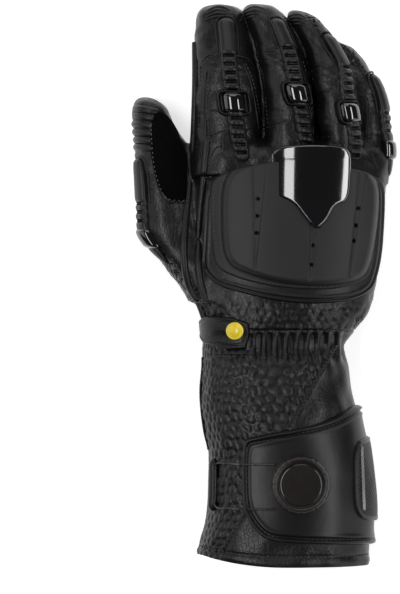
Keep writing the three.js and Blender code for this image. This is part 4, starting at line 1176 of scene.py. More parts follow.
def cuff_lift(places):
    """Relief of the cuff's outside, and a mask that is low in the creases of its cells for painted shade, at
    unrolled places.
    """
    settings = bpy.context.scene.gauntlet_leather
    along, y = places[..., 0], places[..., 1]
    angle = along / UNROLLED
    x, _, _, _ = around(sleeve_section(y), angle)
    back = ease(np.sin(angle), 0.0, 0.35)
    upper = spot(UPPER_SEAM)
    lower = spot(LOWER_SEAM)
    upper_x = np.interp(y, upper[::-1, 1], upper[::-1, 0])
    lower_x = np.interp(y, lower[::-1, 1], lower[::-1, 0])
    embossed = 1 - ease(x, upper_x - 0.0006, upper_x + 0.0006)
    below = (y < lower[0, 1]) & (x > lower_x)
    embossed = np.where(below | (np.sin(angle) < 0.12), 0, embossed)
    drawn = ease(x, -0.021, -0.016) * (1 - ease(x, 0.034, 0.04)) * back
    reach = ease(-y, -0.002, 0.005) * (1 - ease(-y, 0.011, 0.022))
    embossed = embossed * (1 - 0.85 * drawn * reach)
    pattern = scales(along, y, settings.scale_size)
    lift = settings.scale_depth * embossed * (pattern - 1)
    for path in (upper, lower):
        line = smooth_path(path, 0.002)
        near = np.full(x.shape, 1.0)
        for px, py in line:
            near = np.minimum(near, np.hypot(x - px, y - py))
        lift = lift - 0.0006 * bump(near, 0, 0.0009) * back
    lift = lift - 0.0009 * ease(y, -0.0012, SEAM_GAP)
    fold = np.cos(2 * math.pi * (x + 0.013) / settings.gather_pitch)
    lift = lift + settings.gather_depth * drawn * reach * (fold - 1) / 2
    flat = np.stack([along, y], -1)
    lift = lift + settings.wrinkle * ripple(flat, 0.021, 11) * back
    lift = lift + 0.0007 * bump(y + CUFF_LENGTH, 0.0025, 0.0022)
    lift = lift - 0.0005 * bump(y + CUFF_LENGTH, HEM_STITCH, 0.0008)
    # the second value is low in the cells' creases, where the cuff's finish paints shade
    return lift, 1 - embossed * (1 - pattern)


def sleeve_shell(name, top, bottom, rows, columns, material):
    """Hollow stretch of the cuff from one y to another, with its relief and painted crease shade outside and
    a plain lining.
    """
    angle = np.linspace(0, 2 * math.pi, columns, endpoint=False) + 0.004
    outer_y = np.linspace(top, bottom, rows)
    inner_y = np.linspace(bottom, top, max(rows // 5, 6))
    unroll = np.where(angle > math.pi, angle - 2 * math.pi, angle)

    def grid(ys, inward):
        places = np.stack(np.broadcast_arrays(unroll[None] * UNROLLED, ys[:, None]), -1)
        lift, cells = cuff_lift(places)
        if inward:
            lift = np.full(lift.shape, -LEATHER)
            cells = np.ones(lift.shape)
        points = on_sleeve(places, lift)
        floor = LEATHER if inward else 0.0
        points[..., 2] = np.maximum(points[..., 2], floor)
        return points, cells

    outer, outer_crease_shade = grid(outer_y, False)
    inner, inner_crease_shade = grid(inner_y, True)
    points = np.concatenate([outer.reshape(-1, 3), inner.reshape(-1, 3)])
    count = len(outer_y) + len(inner_y)
    piece = make_piece(name, points, wrap_faces(count, columns, closed_rows=True), material)
    # the cells attribute paints shade into the creases outside; the lining gets none
    add_attribute(piece, "cells", np.concatenate([outer_crease_shade.ravel(), inner_crease_shade.ravel()]))
    return piece


class GAUNTLET_OT_cuff(bpy.types.Operator):
    """Make the hollow cuff, the gathered wrist, and their seams"""
    bl_idname = "gauntlet.cuff"
    bl_label = "Cuff"

    def execute(self, context):
        coarse = 1
        leather = leather_material("cells")
        seam = -GATHER_LENGTH - SEAM_GAP / 2
        gathers = sleeve_shell("gathered_wrist", 0.0012, seam - 0.0001, 30 // coarse, 420 // coarse, leather)
        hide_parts("wrist_gathers")
        cuff = sleeve_shell("leather_cuff", seam, -CUFF_LENGTH, 170 // coarse, 400 // coarse, leather)
        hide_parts("cuff_leather")
        plain = leather_material("plain")
        paths = []
        rows = []
        for pixels in (UPPER_SEAM, LOWER_SEAM):
            line = unrolled(smooth_path(spot(pixels), 0.0008))
            for side in (-0.0012, 0.0012):
                rows.append(on_sleeve(line + (side, 0), np.full(len(line), 0.0001)))
            paths.append(on_sleeve(line, np.full(len(line), -0.0002)))
        edge_y = np.linspace(-0.016, -0.07, 60)
        side_edge = np.stack([np.full(60, 3.02 * UNROLLED), edge_y], -1)
        paths.append(on_sleeve(side_edge, np.full(60, 0.0002)))
        hem = np.stack([np.linspace(-0.5, 3.4, 260) * UNROLLED, np.full(260, -CUFF_LENGTH + HEM_STITCH)], -1)
        rows.append(on_sleeve(hem, np.full(260, -0.0002)))
        welts("cuff_welts", paths, plain, 0.0006)
        stitches("cuff_stitches", rows, thread_material(), pitch=0.0027)
        return {"FINISHED"}


# Knuckle armour
def hand_spot(across, along):
    return np.array([across * HAND_WIDTH, along * HAND_LENGTH])


PAD_OUTLINE = [hand_spot(*share) for share in (
    (-0.39, 0.46), (-0.4, 0.3), (-0.415, 0.152), (-0.175, 0.103), (0.105, 0.075), (0.41, 0.095),
    (0.468, 0.2), (0.485, 0.34), (0.488, 0.45), (0.42, 0.475), (0.1, 0.5), (-0.2, 0.48),
)]
SHELL_OUTLINE = [hand_spot(*share) for share in (
    (-0.36, 0.463), (-0.378, 0.42), (-0.377, 0.33), (-0.365, 0.245), (-0.345, 0.19), (-0.27, 0.165),
    (-0.175, 0.146), (-0.04, 0.13), (0.105, 0.122), (0.27, 0.125), (0.4, 0.15), (0.435, 0.18),
    (0.462, 0.27), (0.475, 0.36), (0.478, 0.43), (0.45, 0.468), (0.36, 0.485), (0.2, 0.5), (0.0, 0.513),
    (-0.12, 0.505), (-0.24, 0.49),
)]
SHELL_CENTRE = hand_spot(0.06, 0.32)
DOME_OUTLINE = spot([
    (222, 184), (220.5, 215), (222, 250), (229, 266), (250, 275), (275, 282.5), (306, 286.5), (340, 285),
    (362, 279), (371, 262), (377, 225), (379, 200), (377, 182), (364, 168), (340, 158), (300, 152),
    (271, 155), (250, 162), (232, 169),
])
PLATE_OUTLINE = [hand_spot(*share) for share in (
    (-0.07, 0.552), (-0.07, 0.48), (-0.068, 0.408), (-0.045, 0.402), (0.03, 0.387), (0.08, 0.347),
    (0.118, 0.318), (0.152, 0.303), (0.185, 0.318), (0.21, 0.335), (0.245, 0.378), (0.315, 0.388),
    (0.325, 0.48), (0.325, 0.55), (0.22, 0.56), (0.1, 0.562),
)]
PAD_RISE = 0.0029  # top of the pad, with its gap, over the leather
FLANGE_RISE = 0.0047  # top of the shell's flange over the leather
PLATE_RISE = 0.0018  # top of the gloss plate over the shell
# Flutes: top and foot pixel, half widths there in pixels, and the rows of their vents
FLUTES = [
    ((259, 160), (254.4, 272), 8.0, 1.0, (200, 217, 233.8)),
    ((314, 222), (308.4, 283), 6.0, 1.0, (246, 265)),
    ((361.5, 172), (347, 282), 4.4, 0.8, (209, 226, 241.5)),
]
VENT_RADIUS = 0.0011


def flute_depth(places):
    """How deep the shell is pressed in by its flutes and vents."""
    depth = np.zeros(places.shape[:-1])
    for top, foot, wide, narrow, vents in FLUTES:
        top_xy, foot_xy = spot(top), spot(foot)
        share = (places[..., 1] - top_xy[1]) / (foot_xy[1] - top_xy[1])
        inside = (share > -0.3) & (share < 1)
        middle = top_xy[0] + (foot_xy[0] - top_xy[0]) * share
        half = (wide + (narrow - wide) * np.clip(share, 0, 1)) * PIXEL
        across = np.abs(places[..., 0] - middle)
        press = 0.0009 * (1 - ease(across, half - 0.0007, half)) * (1 - ease(share, 0.97, 1.0))
        depth = np.maximum(depth, np.where(inside, press, 0))
        for row in vents:
            y = (SEAM_PIXEL[1] - row) * PIXEL
            x = top_xy[0] + (foot_xy[0] - top_xy[0]) * (y - top_xy[1]) / (foot_xy[1] - top_xy[1])
            away = np.hypot(places[..., 0] - x, places[..., 1] - y)
            depth = np.maximum(depth, 0.0034 * (1 - ease(away, VENT_RADIUS * 0.6, VENT_RADIUS * 1.05)))
    return depth


def shell_height(places, away=None):
    """Height of the shell over the armour's seat."""
    rise = bpy.context.scene.gauntlet_armour.shell_rise
    inside = depth_in(places, closed_curve(DOME_OUTLINE, 160))
    dome = rise * rounded(inside, 0.0042)
    groove = 0.0003 * bump(inside, 0, 0.0006)
    height = FLANGE_RISE + dome - groove - flute_depth(places) * ease(inside, 0.001, 0.004)
    if away is not None:
        height = height - 0.0012 * (1 - ease(away, 0, 0.0009))
    return height


def plate_height(places, away):
    """Height of the gloss plate: a broad crown over the shell."""
    middle = spot((314, 0))[0]
    across = (places[..., 0] - middle) / 0.0235
    crown = 0.0016 - np.where(across < 0, 0.0042, 0.0006) * across ** 2
    edge = rounded(away, 0.0016)
    rise = bpy.context.scene.gauntlet_armour.shell_rise
    return FLANGE_RISE + rise - 0.0012 + (PLATE_RISE + 0.0012 + crown) * edge


class GAUNTLET_OT_knuckles(bpy.types.Operator):
    """Make the padded panel, the moulded shell and the gloss plate on the back of the hand"""
    bl_idname = "gauntlet.knuckles"
    bl_label = "Knuckle armour"

    def execute(self, context):
        coarse = 1
        pad_outline = closed_curve(PAD_OUTLINE, 300 // coarse)
        pad = slab("padded_panel", pad_outline, hand_spot(0.04, 0.3), on_armour_pad, self.pad_height, 0.0002,
                   leather_material("soft"), rings=44 // coarse, crowd=1.9)
        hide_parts("knuckle_pad")
        outline = closed_curve(SHELL_OUTLINE, 420 // coarse)
        shell = slab("knuckle_cover", outline, SHELL_CENTRE, on_armour, shell_height, -0.0026,
                     shell_material(), rings=110 // coarse, crowd=1.15)
        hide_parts("knuckle_shell")
        plate_outline = closed_curve(PLATE_OUTLINE, 260 // coarse)
        plate = slab("gloss_plate", plate_outline, hand_spot(0.13, 0.44), on_armour, plate_height, -0.0085,
                     gloss_material(), rings=40 // coarse, crowd=1.5)
        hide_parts("knuckle_plate")
        self.stitching(outline)
        return {"FINISHED"}

    @staticmethod
    def pad_height(places, away):
        crown = PAD_RISE * rounded(away, 0.0042)
        welt = 0.0008 * bump(away, 0.0009, 0.0008)
        groove = 0.0007 * bump(away, 0.0024, 0.0006)
        second = 0.0006 * bump(away, 0.0036, 0.0007)
        return crown + welt - groove + second + 0.0004

    @staticmethod
    def stitching(outline):
        """Stitches along the thumb side of the shell's flange."""
        inner = outline + (SHELL_CENTRE - outline) * 0.045
        left = inner[(inner[:, 0] < hand_spot(0.3, 0)[0]) & (inner[:, 1] < hand_spot(0, 0.46)[1])]
        left = left[np.argsort(np.arctan2(*(left - SHELL_CENTRE).T))]
        lift = np.full(len(left), FLANGE_RISE - 0.0002)
        row = [on_armour(left, lift)]
        stitches("flange_stitches", row, thread_material(), thread=0.0008)


def on_armour_pad(places, lift):
    """Places in plan on the back of the hand under the pad, lifted along the normal."""
    middle, half_width, height, half_height = hand_section(np.minimum(places[..., 1], 0.1))
    share = np.clip((places[..., 0] - middle) / half_width, -0.995, 0.995)
    angle = np.arccos(np.sign(share) * np.abs(share) ** (SQUARENESS / 2))
    x, z, _, _ = around((middle, half_width, height, half_height), angle, lift)
    return np.stack([x, places[..., 1], z], -1)


# Strips of armour on the fingers
STRIP_COLUMNS = ("along", "beside", "width")
STRIPS = {
    "index": {"facing": 0, "cap": 0.689, "saddle": 1.0,
              "notches": (0.538, 0.562, 0.588, 0.616, 0.643, 0.727, 0.754, 0.781, 0.808, 0.834),
              "rows": table(STRIP_COLUMNS, [
                  (0.51, 0.5, 0.6), (0.53, 0.47, 0.9), (0.59, 0.33, 1.0), (0.69, 0.2, 1.0), (0.76, 0.15, 1.0),
                  (0.83, 0.13, 0.95), (0.9, 0.15, 0.95), (0.94, 0.17, 0.9), (0.952, 0.17, 0.55)])},
    "middle": {"facing": 0, "cap": 0.716, "saddle": 0.88,
               "notches": (0.565, 0.592, 0.62, 0.648, 0.675, 0.755, 0.782, 0.808, 0.832, 0.856),
               "rows": table(STRIP_COLUMNS, [
                   (0.556, 0.62, 0.75), (0.575, 0.6, 1.0), (0.62, 0.5, 1.0), (0.68, 0.42, 1.0),
                   (0.72, 0.33, 1.0), (0.78, 0.33, 1.0), (0.855, 0.33, 0.95), (0.92, 0.36, 0.9),
                   (0.94, 0.38, 0.85), (0.95, 0.39, 0.5)])},
    "ring": {"facing": 8, "cap": 0.659, "saddle": 0.8,
             "notches": (0.53, 0.556, 0.584, 0.612, 0.695, 0.722, 0.749, 0.775, 0.8),
             "rows": table(STRIP_COLUMNS, [
                 (0.515, 0.5, 0.6), (0.53, 0.48, 0.9), (0.6, 0.5, 1.0), (0.65, 0.46, 1.0), (0.7, 0.44, 1.0),
                 (0.75, 0.52, 1.0), (0.8, 0.62, 1.0), (0.86, 0.55, 0.9), (0.893, 0.46, 0.8),
                 (0.903, 0.44, 0.5)])},
    "little": {"facing": 58, "cap": 0.55, "saddle": None, "notches": (0.61, 0.636, 0.663),
               "rows": table(STRIP_COLUMNS, [
                   (0.466, 0.15, 0.35), (0.5, 0.1, 0.8), (0.56, 0.0, 1.0), (0.66, -0.05, 1.0),
                   (0.72, 0.0, 0.95), (0.77, 0.0, 0.85), (0.785, 0.0, 0.5)])},
    "thumb": {"facing": -56, "cap": 0.278, "saddle": None, "notches": (0.333, 0.36, 0.386),
              "rows": table(STRIP_COLUMNS, [
                  (0.203, 0.1, 0.3), (0.24, 0.05, 0.8), (0.3, 0.0, 1.0), (0.4, 0.0, 1.0),
                  (0.46, 0.0, 0.95), (0.512, 0.0, 0.8), (0.525, 0.0, 0.45)])},
}
RING_ANGLES = np.linspace(0, 2 * math.pi, 361)


def leather_point(y, facing, beside):
    """Outermost point of the leather at one y, seen along a direction leaning by facing radians."""
    out = np.array([math.sin(facing), math.cos(facing)])
    across = np.array([math.cos(facing), -math.sin(facing)])
    best = -np.inf
    for section, start, end, _ in TUBES.values():
        if not start <= y <= end:
            continue
        x, z, _, _ = around(section(np.array(y)), RING_ANGLES)
        u = x * across[0] + z * across[1]
        v = x * out[0] + z * out[1]
        span = u[1:] - u[:-1]
        hit = np.nonzero((u[:-1] - beside) * (u[1:] - beside) <= 0)[0]
        hit = hit[np.abs(span[hit]) > 1e-12]
        if len(hit):
            t = (beside - u[hit]) / span[hit]
            best = max(best, float((v[hit] + t * (v[hit + 1] - v[hit])).max()))
    return np.array([across[0] * beside + out[0] * best, y, across[1] * beside + out[1] * best])


class StripPath:
    """Frames along a finger's strip: the leather under its edges and middle, and its normals."""

    def __init__(self, name, low, high, half, count=60):
        strip = STRIPS[name]
        self.half = half
        self.y = np.linspace(low, high, count)
        base, normal = [], []
        for y in self.y:
            row = row_at(strip["rows"], y / HAND_LENGTH)
            section = finger_section(name, y)
            f = math.radians(strip["facing"])
            reach = math.hypot(section[1] * math.cos(f), section[3] * math.sin(f))
            centre = section[0] * math.cos(f) - section[2] * math.sin(f) + row["beside"] * reach
            feel = 0.0019
            a = leather_point(y, f, centre - feel)
            b = leather_point(y, f, centre + feel)
            tilt = math.atan2(a[2] - b[2], b[0] - a[0])
            middle = (a + b) / 2
            beside = middle[0] * math.cos(tilt) - middle[2] * math.sin(tilt)
            three = [leather_point(y, tilt, beside + away) for away in (-half, 0.0, half)]
            base.append(three)
            normal.append([self.outward(three[0], three[1]), self.outward(three[0], three[2]),
                           self.outward(three[1], three[2])])
        self.base = self.soften(np.array(base))
        self.normal = self.soften(np.array(normal))

    @staticmethod
    def outward(a, b):
        normal = np.array([a[2] - b[2], 0, b[0] - a[0]])
        return normal / np.linalg.norm(normal)

    @staticmethod
    def soften(values):
        """Runs a short average along the strip."""
        for _ in range(3):
            padded = np.concatenate([values[:1], values, values[-1:]])
            values = padded[:-2] * 0.25 + padded[1:-1] * 0.5 + padded[2:] * 0.25
        return values

    def place(self, places, lift):
        """Places (distance across, y) on the strip's seat, lifted along its normal."""
        across = places[..., 0] / self.half
        y = places[..., 1]
        at = np.clip((y - self.y[0]) / (self.y[-1] - self.y[0]) * (len(self.y) - 1), 0, len(self.y) - 1.001)
        i = at.astype(int)
        t = (at - i)[..., None]
        base = [self.base[i, k] * (1 - t) + self.base[i + 1, k] * t for k in range(3)]
        normal = [self.normal[i, k] * (1 - t) + self.normal[i + 1, k] * t for k in range(3)]
        w = across[..., None]
        point = base[0] * (w * (w - 1) / 2) + base[1] * (1 - w * w) + base[2] * (w * (w + 1) / 2)
        side = np.clip(w, -1, 1)
        facing = normal[1] * (1 - np.abs(side)) + np.where(side < 0, normal[0], normal[2]) * np.abs(side)
        facing = facing / np.linalg.norm(facing, axis=-1, keepdims=True)
        point = point + facing * lift[..., None]
        point[..., 1] = y
        return point


def strip_piece(name, path, material):
    """The notched strip of one finger as a swept closed bar."""
    settings = bpy.context.scene.gauntlet_armour
    strip = STRIPS[name]
    rows = strip["rows"]
    low, high = rows["along"][0] * HAND_LENGTH, rows["along"][-1] * HAND_LENGTH
    count = int((high - low) / (0.00038))
    y = np.linspace(low, high, count)
    row = row_at(rows, y / HAND_LENGTH)
    end = np.minimum(y - low, high - y)
    rounding = np.sqrt(np.clip(1 - (1 - np.clip(end / 0.0035, 0, 1)) ** 2, 0.02, 1))
    half = row["width"] * settings.strip_width / 2 * (0.4 + 0.6 * rounding)
    w = np.sin(np.linspace(-0.5, 0.5, 31) * math.pi)
    profile = (1 - np.abs(w) ** 3.4) ** 0.5
    tall = settings.strip_height * (0.35 + 0.65 * row["width"]) * (0.25 + 0.75 * rounding)
    lift = tall[:, None] * (0.42 + 0.58 * profile[None])
    notched = y / HAND_LENGTH
    first, last = min(strip["notches"]), max(strip["notches"])
    beaded = ease(notched, first - 0.02, first) * (1 - ease(notched, last, last + 0.02))
    lift -= 0.0004 * (beaded * (1 - 0.6 * row["width"]))[:, None]
    across = half[:, None] * w[None]
    # painted shade: this mask falls in each notch and darkens the strip's colour there
    shade = np.ones(across.shape)
    for notch in strip["notches"]:
        near = np.abs(notched - notch) * HAND_LENGTH
        slot = 1 - ease(near, 0.0006, 0.0011)
        wide = 1 - ease(np.abs(across), 0.0026, 0.0033)
        shade -= slot[:, None] * wide
        valley = bump(near, 0, 0.0014) * 0.0009
        lift -= settings.notch_depth * slot[:, None] * wide + valley[:, None]
    lift -= 0.00015 * (beaded[:, None] * bump(across, 0, 0.0009))
    places = np.stack([across, np.broadcast_to(y[:, None], across.shape)], -1)
    top = path.place(places, lift)
    low_places = places[:, ::-1][:, ::6]
    bottom = path.place(low_places, np.full(low_places.shape[:2], -0.0012))
    rings = np.concatenate([top, bottom], 1)
    columns = rings.shape[1]
    faces = wrap_faces(count, columns)
    faces.append(tuple(range(columns))[::-1])
    faces.append(tuple(range((count - 1) * columns, count * columns)))
    piece = make_piece("strip_" + name, rings.reshape(-1, 3), faces, material)
    add_attribute(piece, "painted_slot_shade", np.concatenate([shade, np.ones(bottom.shape[:2])], 1).ravel())
    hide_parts("spine_" + name)
    return piece


def rounded_box(half_width, half_length, centre_y, count, squareness=4.0):
    angle = np.linspace(0, 2 * math.pi, count, endpoint=False)
    c, s = np.cos(angle), np.sin(angle)
    power = 2 / squareness
    return np.stack([
        half_width * np.sign(c) * np.abs(c) ** power,
        centre_y + half_length * np.sign(s) * np.abs(s) ** power,
    ], -1)


# Caps on the strips, and the saddles round them
CAP_LENGTH = 0.0115
CAP_WIDTH = 0.013
CAP_RISE = 0.0021
SADDLE_WIDTH = 0.02
SADDLE_LENGTH = 0.016


def cap_piece(name, path, material):
    """Gloss cap that bridges a finger's strip."""
    settings = bpy.context.scene.gauntlet_armour
    y = STRIPS[name]["cap"] * HAND_LENGTH
    outline = rounded_box(CAP_WIDTH / 2, CAP_LENGTH / 2, y, 120, 5.0)

    def height(places, away):
        edge = rounded(away, 0.0022)
        across = places[..., 0] / (CAP_WIDTH / 2)
        along = (places[..., 1] - y) / (CAP_LENGTH / 2)
        crown = 1 - 0.55 * np.abs(across) ** 2.2 - 0.12 * along ** 2
        return 0.0012 + (settings.strip_height + CAP_RISE - 0.0012) * (0.35 + 0.65 * edge) * crown

    cap = slab("cap_" + name + "_gloss", outline, np.array([0.0, y]), path.place, height, 0.0003, material,
               rings=24, crowd=1.4)
    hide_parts("cap_" + name)


def saddle_piece(name, path, material):
    """Raised leather frame round a cap, with upright grooves in its sunk middle."""
    strip = STRIPS[name]
    y = strip["cap"] * HAND_LENGTH
    half = SADDLE_WIDTH / 2 * strip["saddle"]
    outline = rounded_box(half, SADDLE_LENGTH / 2, y, 200, 4.5)

    def height(places, away):
        rim = 0.0019 * bump(away, 0.0013, 0.00075)
        sunk = 0.0012 * ease(away, 0.0, 0.0006) - 0.0008 * ease(away, 0.0018, 0.0026)
        grooves = 0.0003 * np.cos(places[..., 0] * 2 * math.pi / 0.0017) * ease(away, 0.002, 0.003)
        return sunk + rim + grooves + 0.0002

    saddle = slab("saddle_" + name + "_frame", outline, np.array([0.0, y]), path.place, height, 0.0004,
                  material, rings=30, crowd=1.2)
    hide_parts("saddle_" + name)


class GAUNTLET_OT_fingers(bpy.types.Operator):
    """Make the notched strips, gloss caps and leather frames on the fingers and thumb"""
    bl_idname = "gauntlet.fingers"
    bl_label = "Finger armour"

    def execute(self, context):
        borders = []
        for name, strip in STRIPS.items():
            rows = strip["rows"]
            low, high = rows["along"][0] * HAND_LENGTH, rows["along"][-1] * HAND_LENGTH
            path = StripPath(name, low, high, 0.0048)
            strip_piece(name, path, strip_material())
            cap_piece(name, path, gloss_material())
            if strip["saddle"]:
                wide = StripPath(name, low, high, SADDLE_WIDTH / 2 * strip["saddle"])
                saddle_piece(name, wide, leather_material("soft"))
            borders.append(self.tongue_border(path, strip, high))
        welts("tongue_welts", borders, leather_material("plain"), 0.0006)
        return {"FINISHED"}

    @staticmethod
    def tongue_border(path, strip, high):
        """Welt that runs round the plain end of a strip."""
        start = max(strip["notches"]) * HAND_LENGTH
        half = 0.0062
        arc = np.linspace(-0.5, 0.5, 15) * math.pi
        left = [(-half, y) for y in np.linspace(start, high - 0.005, 10)]
        top = [(half * math.sin(a), high - 0.005 + half * math.cos(a)) for a in arc]
        right = [(half, y) for y in np.linspace(high - 0.005, start, 10)]
        places = np.array(left + top + right)
        places[:, 1] = np.minimum(places[:, 1], high + 0.001)
        line = smooth_path(places, 0.0007)
        return path.place(line, np.full(len(line), 0.0001))


# Thumb panel, strap, flap and side plate
GRIP_OUTLINE = [hand_spot(*share) for share in (
    (-0.66, 0.67), (-0.6, 0.665), (-0.545, 0.62), (-0.51, 0.56), (-0.49, 0.53), (-0.49, 0.4),
    (-0.53, 0.385), (-0.585, 0.395), (-0.64, 0.44), (-0.67, 0.52), (-0.68, 0.6),
)]
STRAP_OUTLINE = [hand_spot(*share) for share in (
    (-0.402, 0.045), (-0.19, 0.037), (-0.178, -0.02), (-0.198, -0.066), (-0.402, -0.034),
)]
SNAP_SPOT = hand_spot(-0.253, -0.002)
SNAP_RADIUS = 0.0051


def cuff_spot(across, along):
    return np.array([across * CUFF_WIDTH, -along * CUFF_LENGTH])


def flap_corners():
    """Outline of the flap at unrolled places: its free edge by plan, its far end by the section's angle."""
    free = unrolled([cuff_spot(*share) for share in (
        (0.3, 0.905), (-0.025, 0.895), (-0.13, 0.88), (-0.2, 0.83), (-0.255, 0.75), (-0.258, 0.62),
        (-0.258, 0.5), (-0.235, 0.455), (-0.16, 0.444), (0.03, 0.418), (0.21, 0.39), (0.35, 0.34),
        (0.415, 0.315),
    )])
    far = np.array([(-0.55 * UNROLLED, -0.33 * CUFF_LENGTH), (-0.55 * UNROLLED, -0.92 * CUFF_LENGTH)])
    return np.vstack([free, far])


def badge_corners():
    rows = np.array([(0.38, 0.478), (0.385, 0.72), (0.41, 0.79), (0.47, 0.81)])
    near = unrolled([cuff_spot(*share) for share in rows])
    far = np.array([(-0.18 * UNROLLED, -0.816 * CUFF_LENGTH), (-0.18 * UNROLLED, -0.452 * CUFF_LENGTH)])
    return np.vstack([near, far, unrolled([cuff_spot(0.45, 0.455)])])


class GAUNTLET_OT_closures(bpy.types.Operator):
    """Make the thumb panel, the wrist strap with its snap, the cuff's flap and the side plate"""
    bl_idname = "gauntlet.closures"
    bl_label = "Strap, flap and side plate"

    def execute(self, context):
        coarse = 1
        closure = context.scene.gauntlet_closure
        self.thumb_panel()
        self.strap()
        flap = closure.flap_rise

        def flap_height(places, away):
            body = flap * rounded(away, 0.0016)
            roll = closure.piping * 0.9 * bump(away, 0.0014, 0.0011)
            groove = 0.0009 * bump(away, 0.0033, 0.0007)
            second = 0.0004 * bump(away, 0.0048, 0.0012)
            soft = 0.00025 * ripple(places, 0.03, 21) * ease(away, 0.004, 0.012)
            return body + roll - groove + second + soft + 0.0003

        corners = flap_corners()
        outline = closed_curve(corners, 420 // coarse)
        centre = outline.mean(0)
        piece = slab("leather_flap", outline, centre, on_sleeve, flap_height, 0.0, leather_material("flap"),
                     rings=70 // coarse, crowd=1.5)
        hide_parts("cuff_flap")
        rows = []
        for inward in (0.0033, 0.0062):
            scale = 1 - inward / np.linalg.norm(outline - centre, axis=1)
            line = centre + (outline - centre) * scale[:, None]
            line = line[line[:, 0] > 0.1 * UNROLLED]
            cut = int(np.argmax(np.linalg.norm(np.diff(line, axis=0), axis=1))) + 1
            line = smooth_path(np.vstack([line[cut:], line[:cut]]), 0.0008)
            rows.append(on_sleeve(line, np.full(len(line), flap - 0.00005)))
        stitches("flap_stitches", rows, thread_material(), pitch=0.0026, thread=0.0008)
        self.side_plate(flap)
        return {"FINISHED"}

    @staticmethod
    def thumb_panel():
        outline = closed_curve(GRIP_OUTLINE, 160)
        panel = slab("thumb_suede", outline, hand_spot(-0.58, 0.52), on_back,
                     lambda places, away: 0.0003 + 0.0012 * ease(away, 0, 0.0012), 0.0004, suede_material(),
                     rings=30)
        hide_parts("thumb_grip")

    @staticmethod
    def strap():
        outline = closed_curve(unrolled(STRAP_OUTLINE), 220, rounds=1)
        bend = 2.6 * UNROLLED  # beyond it the strap is drawn out round the thumb side
        far = outline[:, 0] > bend
        outline[:, 0] = np.where(far, bend + (outline[:, 0] - bend) * 2.2, outline[:, 0])

        def height(places, away):
            edge = rounded(away, 0.0011)
            groove = 0.0005 * bump(away, 0.0024, 0.0005)
            return 0.0003 + 0.0024 * edge - groove

        strap = slab("leather_strap", outline, outline.mean(0), on_sleeve, height, 0.0,
                     leather_material("plain"))
        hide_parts("wrist_strap")
        centre = outline.mean(0)
        line = centre + (outline - centre) * (1 - 0.0024 / np.linalg.norm(outline - centre, axis=1))[:, None]
        line = smooth_path(np.vstack([line, line[:1]]), 0.0006)
        stitches("strap_stitches", [on_sleeve(line, np.full(len(line), 0.0023))],
                         thread_material(), pitch=0.0021, length=0.0015)
        enamel = bpy.context.scene.gauntlet_closure.snap_colour
        material = finish("snap_enamel", np.array(enamel) * 0.82, enamel, (0.25, 0.38), patches=90.0,
                          **{"Coat Weight": 0.4})
        seat = float(back_height(*SNAP_SPOT)) + 0.0027
        profile = [(SNAP_RADIUS * r, z, 0) for r, z in (
            (0.86, -0.0022), (0.9, 0.0), (0.985, 0.0002), (1.0, 0.0006), (0.985, 0.001), (0.93, 0.0013),
            (0.86, 0.00145), (0.8, 0.00135), (0.74, 0.0014), (0.62, 0.0019), (0.45, 0.00235), (0.25, 0.0026),
            (0.08, 0.00268),
        )]
        step = 0.002
        lean = [float(back_height(*(SNAP_SPOT + away)) - back_height(*(SNAP_SPOT - away))) / (2 * step)
                for away in (np.array([step, 0.0]), np.array([0.0, step]))]
        snap = lathe("snap_button", profile, (*SNAP_SPOT, seat), material, 72)
        for vertex in snap.data.vertices:
            away = np.array(vertex.co)[:2] - ORIGIN[:2] - SNAP_SPOT
            vertex.co.z += float(away @ lean)
        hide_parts("snap_cap")

    @staticmethod
    def side_plate(flap):
        outline = closed_curve(badge_corners(), 240, rounds=2)
        centre = outline.mean(0)
        under = flap + SEAM_GAP

        def height(places, away):
            edge = rounded(away, 0.0009)
            rim = 0.0004 * bump(away, 0.0011, 0.0006)
            ribs = 0.00022 * np.cos((places[..., 0] * 0.7 + places[..., 1]) * 2 * math.pi / 0.0022)
            return under + 0.0016 * edge + rim + ribs * ease(away, 0.002, 0.003)

        plate = slab("side_plate", outline, centre, on_sleeve, height, -under + 0.0002, strip_material(),
                     rings=60, crowd=1.2)
        # no painted shade on the side plate: the mask is one everywhere
        add_attribute(plate, "painted_slot_shade", np.ones(len(plate.data.vertices)))
        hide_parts("side_badge")
        tape = finish("reflective_tape", (0.12, 0.12, 0.125), (0.24, 0.24, 0.25), (0.3, 0.45), grain=0.00003,
                      pores=2600.0, Metallic=0.4)
        middle = [cuff_spot(0.42, 0.49), cuff_spot(0.428, 0.62), cuff_spot(0.436, 0.762)]
        line = unrolled(smooth_path(middle, 0.001))
        half = 0.0011
        ends = np.vstack([line + (half, 0), (line - (half, 0))[::-1]])
        strip_outline = closed_curve(ends, 120, rounds=1)
        strip = slab("tape_strip", strip_outline, strip_outline.mean(0), on_sleeve,
                     lambda places, away: under + 0.0019 + 0.0005 * ease(away, 0, 0.0003), -(under + 0.0012),
                     tape, rings=12)
        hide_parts("badge_strip")


# Lace dial
DIAL_RADIUS = 0.0174
WINDOW_RADIUS = 0.0123
DIAL_SIDES = 12


def facets(angle):
    """Radius of a many-sided knob with slightly rounded corners, as a share of its widest."""
    sector = 2 * math.pi / DIAL_SIDES
    within = np.mod(angle, sector) - sector / 2
    flat = math.cos(sector / 2) / np.cos(within)
    return flat - 0.05 * np.exp(-((np.abs(within) - sector / 2) / 0.05) ** 2)


